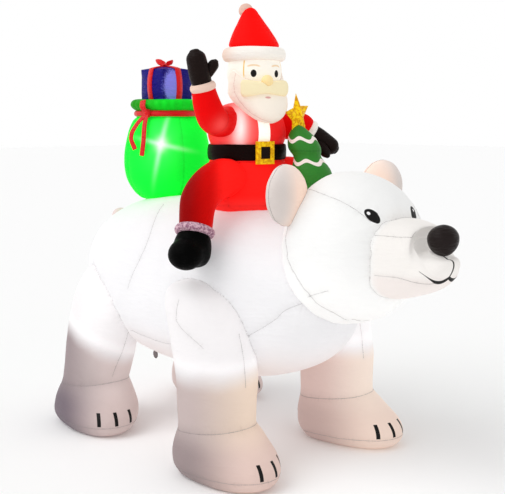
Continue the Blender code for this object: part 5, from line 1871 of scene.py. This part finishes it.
def sack_paint(graph, base):
    """The lamp's bright spot, with four rays where the cloth's weave spreads its light."""
    out = SACK_LAMP - (SACK_X, 0, SACK_LAMP[2])
    up_ray = facing(out, (0.026, 0.058, 0.275))
    side_ray = facing(out, (0.165, 0.143, -0.052))
    wide = graph.glow_spot(SACK_LAMP, up_ray, (0.11, 0.085, 0.15))
    base = graph.mix(graph.times(wide, 0.45), base, linear(84, 255, 118))
    tall = graph.glow_spot(SACK_LAMP, up_ray, (0.130, 0.012, 0.10))
    flat = graph.glow_spot(SACK_LAMP, side_ray, (0.110, 0.011, 0.10))
    base = graph.mix(graph.times(graph.most(tall, flat), 0.75), base, linear(176, 253, 196))
    hot = graph.glow_spot(SACK_LAMP, up_ray, (0.030, 0.026, 0.10))
    return graph.mix(graph.times(hot, 0.8), base, linear(235, 254, 238))


def collar_colour(graph):
    """Lit from inside towards the bear's head."""
    aside = aside_from(graph, SACK_X, 0.0)
    return graph.mix(graph.remap(aside, -0.15, 0.02), linear(34, 142, 20), linear(16, 214, 40))


def parcel_colour(graph):
    """Deep blue foil with a painted lavender highlight where it faces the light."""
    grain = graph.noise(graph.place(), 160.0, 2.0)
    spread = graph.times(graph.calc("SUBTRACT", grain, 0.5), 0.5)
    # Painted highlight: a lavender patch where the foil faces the light, broken up by the foil's grain.
    bright = graph.glow_spot((SACK_X + 0.10, -0.035, PARCEL_CENTRE[2]), (0, 0, 0), (0.08, 0.052, 0.085))
    share = graph.remap(graph.add(bright, spread), 0.26, 0.60)
    return graph.mix(share, linear(22, 14, 112), linear(132, 136, 240))


SACK_CLOTH = cloth_material(
    "green sack nylon", linear(12, 244, 52), 0.5, 1.0, sack_paint, even_light(0.48), (0, 140, 20), 0.8,
    specular=0.04,
)
COLLAR_CLOTH = cloth_material(
    "green collar nylon", collar_colour, 0.5, 1.0, None, even_light(0.20), (10, 70, 8), 0.7, specular=0.06
)
RED_RIBBON = cloth_material(
    "red satin ribbon", linear(206, 18, 22), 0.35, 1.0, None, even_light(0.15), (120, 4, 8), 0.5,
    crinkle=0.008, sheen=0.1,
)
PARCEL_FOIL = cloth_material(
    "blue foil cloth", parcel_colour, 0.3, 1.0, None, even_light(0.20), (10, 8, 70), 0.7, crinkle=0.02,
    coat=0.03, specular=0.06,
)


# Outlines as shares of the radius and of the height, from the bottom
SACK_SHARES = (
    (0.50, 0), (0.74, 0.07), (0.95, 0.26), (1, 0.50), (0.93, 0.76), (0.82, 0.93), (0.70, 1.01),
)
BAND_SHARES = ((0.90, -0.05), (0.99, 0.02), (1.035, 0.3), (1.035, 0.7), (0.99, 0.98), (0.90, 1.05))
COLLAR_SHARES = (
    (0.90, 0.0), (0.98, 0.03), (1.10, 0.30), (1.13, 0.60), (1.04, 0.92), (0.80, 1.0), (0.5, 0.9),
)
GATHER_COUNT = 26


def sack_grid(shares, radius, height, base_z, rows, columns):
    """A rounded-square bag on the sack's axis."""
    profile = [(radius * share, height * rise) for share, rise in shares]
    return turned(profile, rows, columns, (SACK_X, 0, base_z), power=2.2)


def build_sack(body, hips):
    """The sack with its band and collar."""
    sack = Bag(sack_grid(SACK_SHARES, SACK_RADIUS, SACK_HEIGHT, SACK_BASE_Z, 170, 240))
    sack.meet(body, 0.9)
    sack.meet(hips, 0.5, False)
    for share in (0.964, 0.714, 0.464, 0.214):
        sack.sew_column(share, 0.10, 0.97, 0.8)
    sack.sew_row(24, 0.6)
    sack.sew_row(164, 1.0)
    part = sack.puffed(101, sway=0.003, sway_size=0.14)
    mesh_piece("gift_sack_bag", [part], SACK_CLOTH, "gift_sack")

    band = Bag(sack_grid(BAND_SHARES, SACK_NECK_RADIUS, SACK_BAND_HEIGHT, SACK_TOP_Z, 30, 260))
    part = small_bag(band, 102, 0.8)
    mesh_piece("gift_sack_band_ribbon", [part], RED_RIBBON, "gift_sack_band")

    rows, columns = 60, 300
    grid = sack_grid(COLLAR_SHARES, SACK_NECK_RADIUS, COLLAR_HEIGHT, COLLAR_BASE_Z, rows, columns)
    gathers = np.sin(np.linspace(0, math.tau, columns, endpoint=False) * GATHER_COUNT)
    rise = np.sin(np.linspace(0, math.pi, rows))[:, None]
    grid = grid + (grid - grid.mean(axis=1, keepdims=True)) * (0.012 * gathers * rise)[..., None]
    part = small_bag(Bag(grid), 103)
    mesh_piece("gift_sack_collar_cloth", [part], COLLAR_CLOTH, "gift_sack_collar")


def parcel_grid(rows=140, columns=200):
    """A cloth box that air has rounded, as rings from its bottom to its top."""
    t = np.linspace(0.004, 0.996, rows)
    angle = np.linspace(0, math.tau, columns, endpoint=False)
    edge = 0.30
    across = np.where(t < edge, t / edge, np.where(t > 1 - edge, (1 - t) / edge, 1.0))
    rise = np.where(t < edge, -1.0, np.where(t > 1 - edge, 1.0, (t - 0.5) / (0.5 - edge)))
    c, s = np.cos(angle), np.sin(angle)
    size = np.maximum(np.abs(c), np.abs(s))
    a = across[:, None] * c / size
    b = across[:, None] * s / size
    h = np.broadcast_to(rise[:, None], a.shape)
    x = a * (1 + PARCEL_SWELL * (1 - b**2) * (1 - h**2))
    y = b * (1 + PARCEL_SWELL * (1 - a**2) * (1 - h**2))
    z = h * (1 + PARCEL_SWELL * (1 - a**2) * (1 - b**2))
    sizes = np.array((PARCEL_SIDE, PARCEL_SIDE, PARCEL_HEIGHT))
    return np.stack((x, y, z), axis=-1) * sizes / 2 + PARCEL_CENTRE


def build_parcel():
    """The parcel, its ribbons and the bow on top."""
    box = Bag(parcel_grid())
    for share in (0.125, 0.375, 0.625, 0.875):
        box.sew_column(share, 0.30, 0.70, 0.6)
    rows = box.grid.shape[0]
    box.sew_row(int(rows * 0.30), 0.6).sew_row(int(rows * 0.70), 0.6)
    mesh_piece("gift_parcel_bag", [small_bag(box, 111, 0.8)], PARCEL_FOIL, "gift_parcel")

    bands = [parcel_band(sideways) for sideways in (False, True)]
    mesh_piece("gift_parcel_ribbon_bands", bands, RED_RIBBON, "gift_parcel_ribbon")

    top = PARCEL_CENTRE + UP * (PARCEL_HEIGHT / 2 * 1.10)
    size = PARCEL_SIDE * 0.36
    lobes = [Bag(egg((size * 0.20,) * 3, top + UP * size * 0.14, 40, 50))]
    for turn, rise, scale in ((205, 0.55, 1.0), (20, 0.75, 0.72), (300, 0.1, 0.6)):
        angle = math.radians(turn)
        along = Vector((math.cos(angle), math.sin(angle), rise)).normalized()
        centre = top + UP * size * 0.14 + np.array(along) * size * scale * 0.5
        spin = Matrix.Translation(Vector(centre)) @ along.to_track_quat("X", "Z").to_matrix().to_4x4()
        radii = np.array((0.52, 0.40, 0.17)) * size * scale
        lobe = egg(radii, (0, 0, 0), 50, 70, "x")
        flare = np.maximum(0, 1 - np.abs(lobe[..., 0]) / radii[0])
        lobe[..., 2] += 0.10 * size * scale * np.sin(lobe[..., 1] / radii[1] * 5) * flare
        lobes.append(Bag(turned_by(spin, lobe)))
    mesh_piece(
        "gift_parcel_bow_loops",
        [small_bag(lobe, 112 + n, 0.4) for n, lobe in enumerate(lobes)],
        RED_RIBBON,
        "gift_parcel_bow",
    )


def parcel_band(sideways):
    """One band of ribbon round the parcel, over its top and bottom."""
    half = PARCEL_SIDE / 2
    tall = PARCEL_HEIGHT / 2
    loop = ((0, 1), (1, 1), (1, -1), (-1, -1), (-1, 1), (0, 1))
    marks = []
    for (a0, b0), (a1, b1) in zip(loop[:-1], loop[1:]):
        count = 24 if abs(a1 - a0) + abs(b1 - b0) > 1 else 12
        for n in range(count):
            marks.append((a0 + (a1 - a0) * n / count, b0 + (b1 - b0) * n / count))
    rows = []
    half_width = RIBBON_WIDTH / 2
    for a, b in marks:
        centre = np.array((a * (1 + PARCEL_SWELL * (1 - b * b)), 0, b * (1 + PARCEL_SWELL * (1 - a * a))))
        centre = centre * (half, 0, tall)
        out = np.array((a**5, 0, b**5)) + np.array((a, 0, b)) * 0.05
        out /= np.linalg.norm(out)
        section = []
        for across, lift in ((-1, 0), (-0.96, 1), (0, 1.35), (0.96, 1), (1, 0), (0, -0.3)):
            aside = np.array((0, across * half_width, 0))
            section.append(centre + aside + out * (RIBBON_THICKNESS * lift))
        rows.append(section)
    rows.append(rows[0])
    grid = np.array(rows)
    if sideways:
        grid = grid[..., (1, 0, 2)]
    far = np.full(grid.shape[:2], 0.5)
    return grid + PARCEL_CENTRE, far, far


def ribbon_strip(spots, width, wide_way, rows=60):
    """A flat strip of ribbon through spots, as wide as width along wide_way."""
    stations = [(np.array(s), width / 2, BOW_THICKNESS / 2) for s in spots]
    bag = Bag(tube(stations, rows, 24, 3.0, (0.02, 0.02), wide_way))
    return small_bag(bag, 121, 0.4)


def build_sack_bow():
    """The knot at the sack's neck, its two hanging loops and an end laid over the collar."""
    out = np.array((math.cos(SACK_BOW_TURN), math.sin(SACK_BOW_TURN), 0))
    side = np.array((-out[1], out[0], 0))
    neck = np.array((SACK_X, 0, SACK_TOP_Z + SACK_BAND_HEIGHT / 2)) + out * SACK_NECK_RADIUS * 1.03
    width = SACK_BAND_HEIGHT * 0.9
    knot = egg(np.array((0.75, 0.75, 0.85)) * width, neck + out * width * 0.15, 40, 50)
    parts = [small_bag(Bag(knot), 120, 0.4)]
    clear = SACK_RADIUS * 0.34
    for away, drop, spread in ((-1, 0.17, 0.055), (1, 0.20, 0.055 * 0.33)):
        spots = []
        for reach, sideways, down in ((0.17, 0, 0), (0.66, 0.6, 0.30), (0.94, 1, 0.65), (1, 0.55, 1)):
            spots.append(neck + out * clear * reach + side * (away * spread * sideways) - UP * drop * down)
        parts.append(ribbon_strip(spots, width, side))
    over = []
    for reach, sideways, up in ((0.4, 0, 0), (1.04, 0.5, 0.55), (0.48, 0.8, 1.12)):
        over.append(neck + out * width * reach - side * width * sideways + UP * COLLAR_HEIGHT * up)
    parts.append(ribbon_strip(over, width * 1.25, side, 30))
    mesh_piece("gift_sack_bow_ribbon", parts, RED_RIBBON, "gift_sack_bow")


def tree_paint(graph, base):
    """Two wavy pale garlands."""
    x, y, z = graph.axes(graph.place())
    height = graph.calc("SUBTRACT", z, back_z(TREE_X) - BURIED)
    east = graph.calc("SUBTRACT", x, graph.add(TREE_X, graph.times(height, TREE_LEAN[0])))
    north = graph.calc("SUBTRACT", y, graph.add(TREE_Y, graph.times(height, TREE_LEAN[1])))
    angle = graph.calc("ARCTAN2", north, east)
    wave = graph.times(graph.calc("SINE", graph.times(angle, 5.0)), 0.008)
    for level in GARLAND_LEVELS:
        off = graph.calc("ABSOLUTE", graph.calc("SUBTRACT", graph.calc("SUBTRACT", z, wave), level))
        base = graph.mix(graph.remap(off, 0.0086, 0.0074), base, linear(234, 224, 218))
    return base


TREE_CLOTH = cloth_material(
    "green tree nylon", linear(44, 122, 38), 0.5, 1.0, tree_paint, even_light(0.14), (10, 66, 20), 0.6
)


def build_tree():
    """Three full tiers, drawn in between them, under a puffed star."""
    base_z = back_z(TREE_X) - BURIED
    tiers = (
        (0.00, 0.95), (0.10, 1.10), (0.26, 1.04), (0.36, 0.86), (0.46, 1.00), (0.56, 1.02),
        (0.68, 0.74), (0.76, 0.86), (0.86, 0.74), (0.96, 0.36), (1.00, 0.0),
    )
    profile = [(TREE_RADIUS * r, TREE_HEIGHT * h) for h, r in tiers]
    tree = Bag(turned(profile, 170, 150, (TREE_X, TREE_Y, base_z), lean=TREE_LEAN))
    tree.sew_row(61, 0.8).sew_row(115, 0.8)
    tree.sew_column(0.66, 0.05, 0.97, 0.5).sew_column(0.16, 0.05, 0.97, 0.5)
    mesh_piece("christmas_tree_bag", [small_bag(tree, 131, 0.9)], TREE_CLOTH, "christmas_tree")

    rows, columns = 60, 300
    angle = np.linspace(0, math.tau, columns, endpoint=False)
    part = (angle / math.tau * 5) % 1
    toward_tip = np.abs(part - 0.5) * 2
    tip_angle = math.pi / 5
    reach = STAR_INNER_SHARE * math.sin(tip_angle) / (
        np.sin(tip_angle * toward_tip) + STAR_INNER_SHARE * np.sin(tip_angle * (1 - toward_tip))
    )
    t = np.linspace(-0.998, 0.998, rows)
    share = 1 - np.abs(t)
    puff = np.sign(t) * (1 - share**1.25)
    wide = STAR_RADIUS * (reach * share[:, None])
    x = np.broadcast_to((puff * STAR_THICKNESS / 2)[:, None], wide.shape)
    grid = np.stack(
        (x, -wide * np.sin(angle + STAR_ROLL), wide * np.cos(angle + STAR_ROLL)), axis=-1
    )
    star_middle = (
        TREE_X + TREE_LEAN[0] * TREE_HEIGHT - STAR_RADIUS * 0.12,
        TREE_Y + TREE_LEAN[1] * TREE_HEIGHT + STAR_RADIUS * 0.12,
        base_z + TREE_HEIGHT + STAR_RADIUS * 0.38,
    )
    yaw = Matrix.Rotation(math.radians(12), 4, "Z")
    tilt = Matrix.Rotation(math.radians(-10), 4, "X")
    star = Bag(turned_by(Matrix.Translation(star_middle) @ yaw @ tilt, grid))
    mesh_piece("tree_star_bag", [small_bag(star, 132, 0.5)], GOLD_STAR, "tree_star")


def build_zip_tab():
    """The little tab on the zip under the belly."""
    node = "belly_zip_tab"
    size = extent(node)
    grid = egg(size / 2, (0, 0, 0), 30, 40)
    tab = Bag(grid + middle(node))
    mesh_piece("belly_zip_pull", [small_bag(tab, 141, 0.2)], ZIP_CLOTH, node)


build_sack(BODY_BAG, HIPS_BAG)
build_parcel()
build_sack_bow()
build_tree()
build_zip_tab()


# Floor, light and camera

CEILING_LIGHT = 0.70
KEY_LIGHT = 1.25
KEY_WIDTH = math.radians(50)
FLOOR_REACH = 40.0


def build_studio():
    """A pale floor, bright walls under a dimmer ceiling and one broad soft lamp."""
    data = bpy.data.meshes.new("floor")
    reach = FLOOR_REACH
    corners = [(-reach, -reach, 0), (reach, -reach, 0), (reach, reach, 0), (-reach, reach, 0)]
    data.from_pydata(corners, [], [(0, 1, 2, 3)])
    floor = bpy.data.objects.new("floor", data)
    pale = bpy.data.materials.new("pale floor")
    pale.use_nodes = True
    shader = pale.node_tree.nodes["Principled BSDF"]
    shader.inputs["Base Color"].default_value = (0.96, 0.96, 0.96, 1)
    shader.inputs["Roughness"].default_value = 0.9
    shader.inputs["Specular IOR Level"].default_value = 0.0
    data.materials.append(pale)
    bpy.context.scene.collection.objects.link(floor)

    world = bpy.data.worlds.new("surround")
    bpy.context.scene.world = world
    world.use_nodes = True
    graph = Graph(world.node_tree)
    direction = graph.node("ShaderNodeTexCoord", output="Generated")
    _, _, rise = graph.axes(direction)
    wall = graph.remap(rise, math.sin(math.radians(28)), math.sin(math.radians(9)))
    ceiling = (CEILING_LIGHT, CEILING_LIGHT, CEILING_LIGHT, 1)
    background = world.node_tree.nodes["Background"]
    graph.feed(background, "Color", graph.mix(wall, ceiling, (1.0, 1.0, 1.0, 1)))

    light = bpy.data.lights.new("soft key", "SUN")
    light.energy = KEY_LIGHT
    light.angle = KEY_WIDTH
    key = bpy.data.objects.new("soft key", light)
    key.rotation_euler = Vector((0.28, 0.80, -0.86)).to_track_quat("-Z", "Y").to_euler()
    bpy.context.scene.collection.objects.link(key)


def build_camera():
    """Looks along the photograph's line of sight."""
    lens_pixels = 936.0
    photo_width = 505.0
    heading = math.radians(42.9)
    dip = math.atan(129 / lens_pixels)
    place = Vector((CHEST_X + 2.5299, -2.8659, 1.4921))
    look = Vector(
        (-math.cos(heading) * math.cos(dip), math.sin(heading) * math.cos(dip), -math.sin(dip))
    )
    view = bpy.data.cameras.new("camera")
    view.sensor_width = 36.0
    view.sensor_fit = "HORIZONTAL"
    view.lens = lens_pixels / photo_width * view.sensor_width
    made = bpy.data.objects.new("camera", view)
    made.location = place
    made.rotation_euler = look.to_track_quat("-Z", "Y").to_euler()
    bpy.context.scene.collection.objects.link(made)
    bpy.context.scene.camera = made


build_studio()
build_camera()
bpy.context.scene.view_settings.view_transform = "Standard"
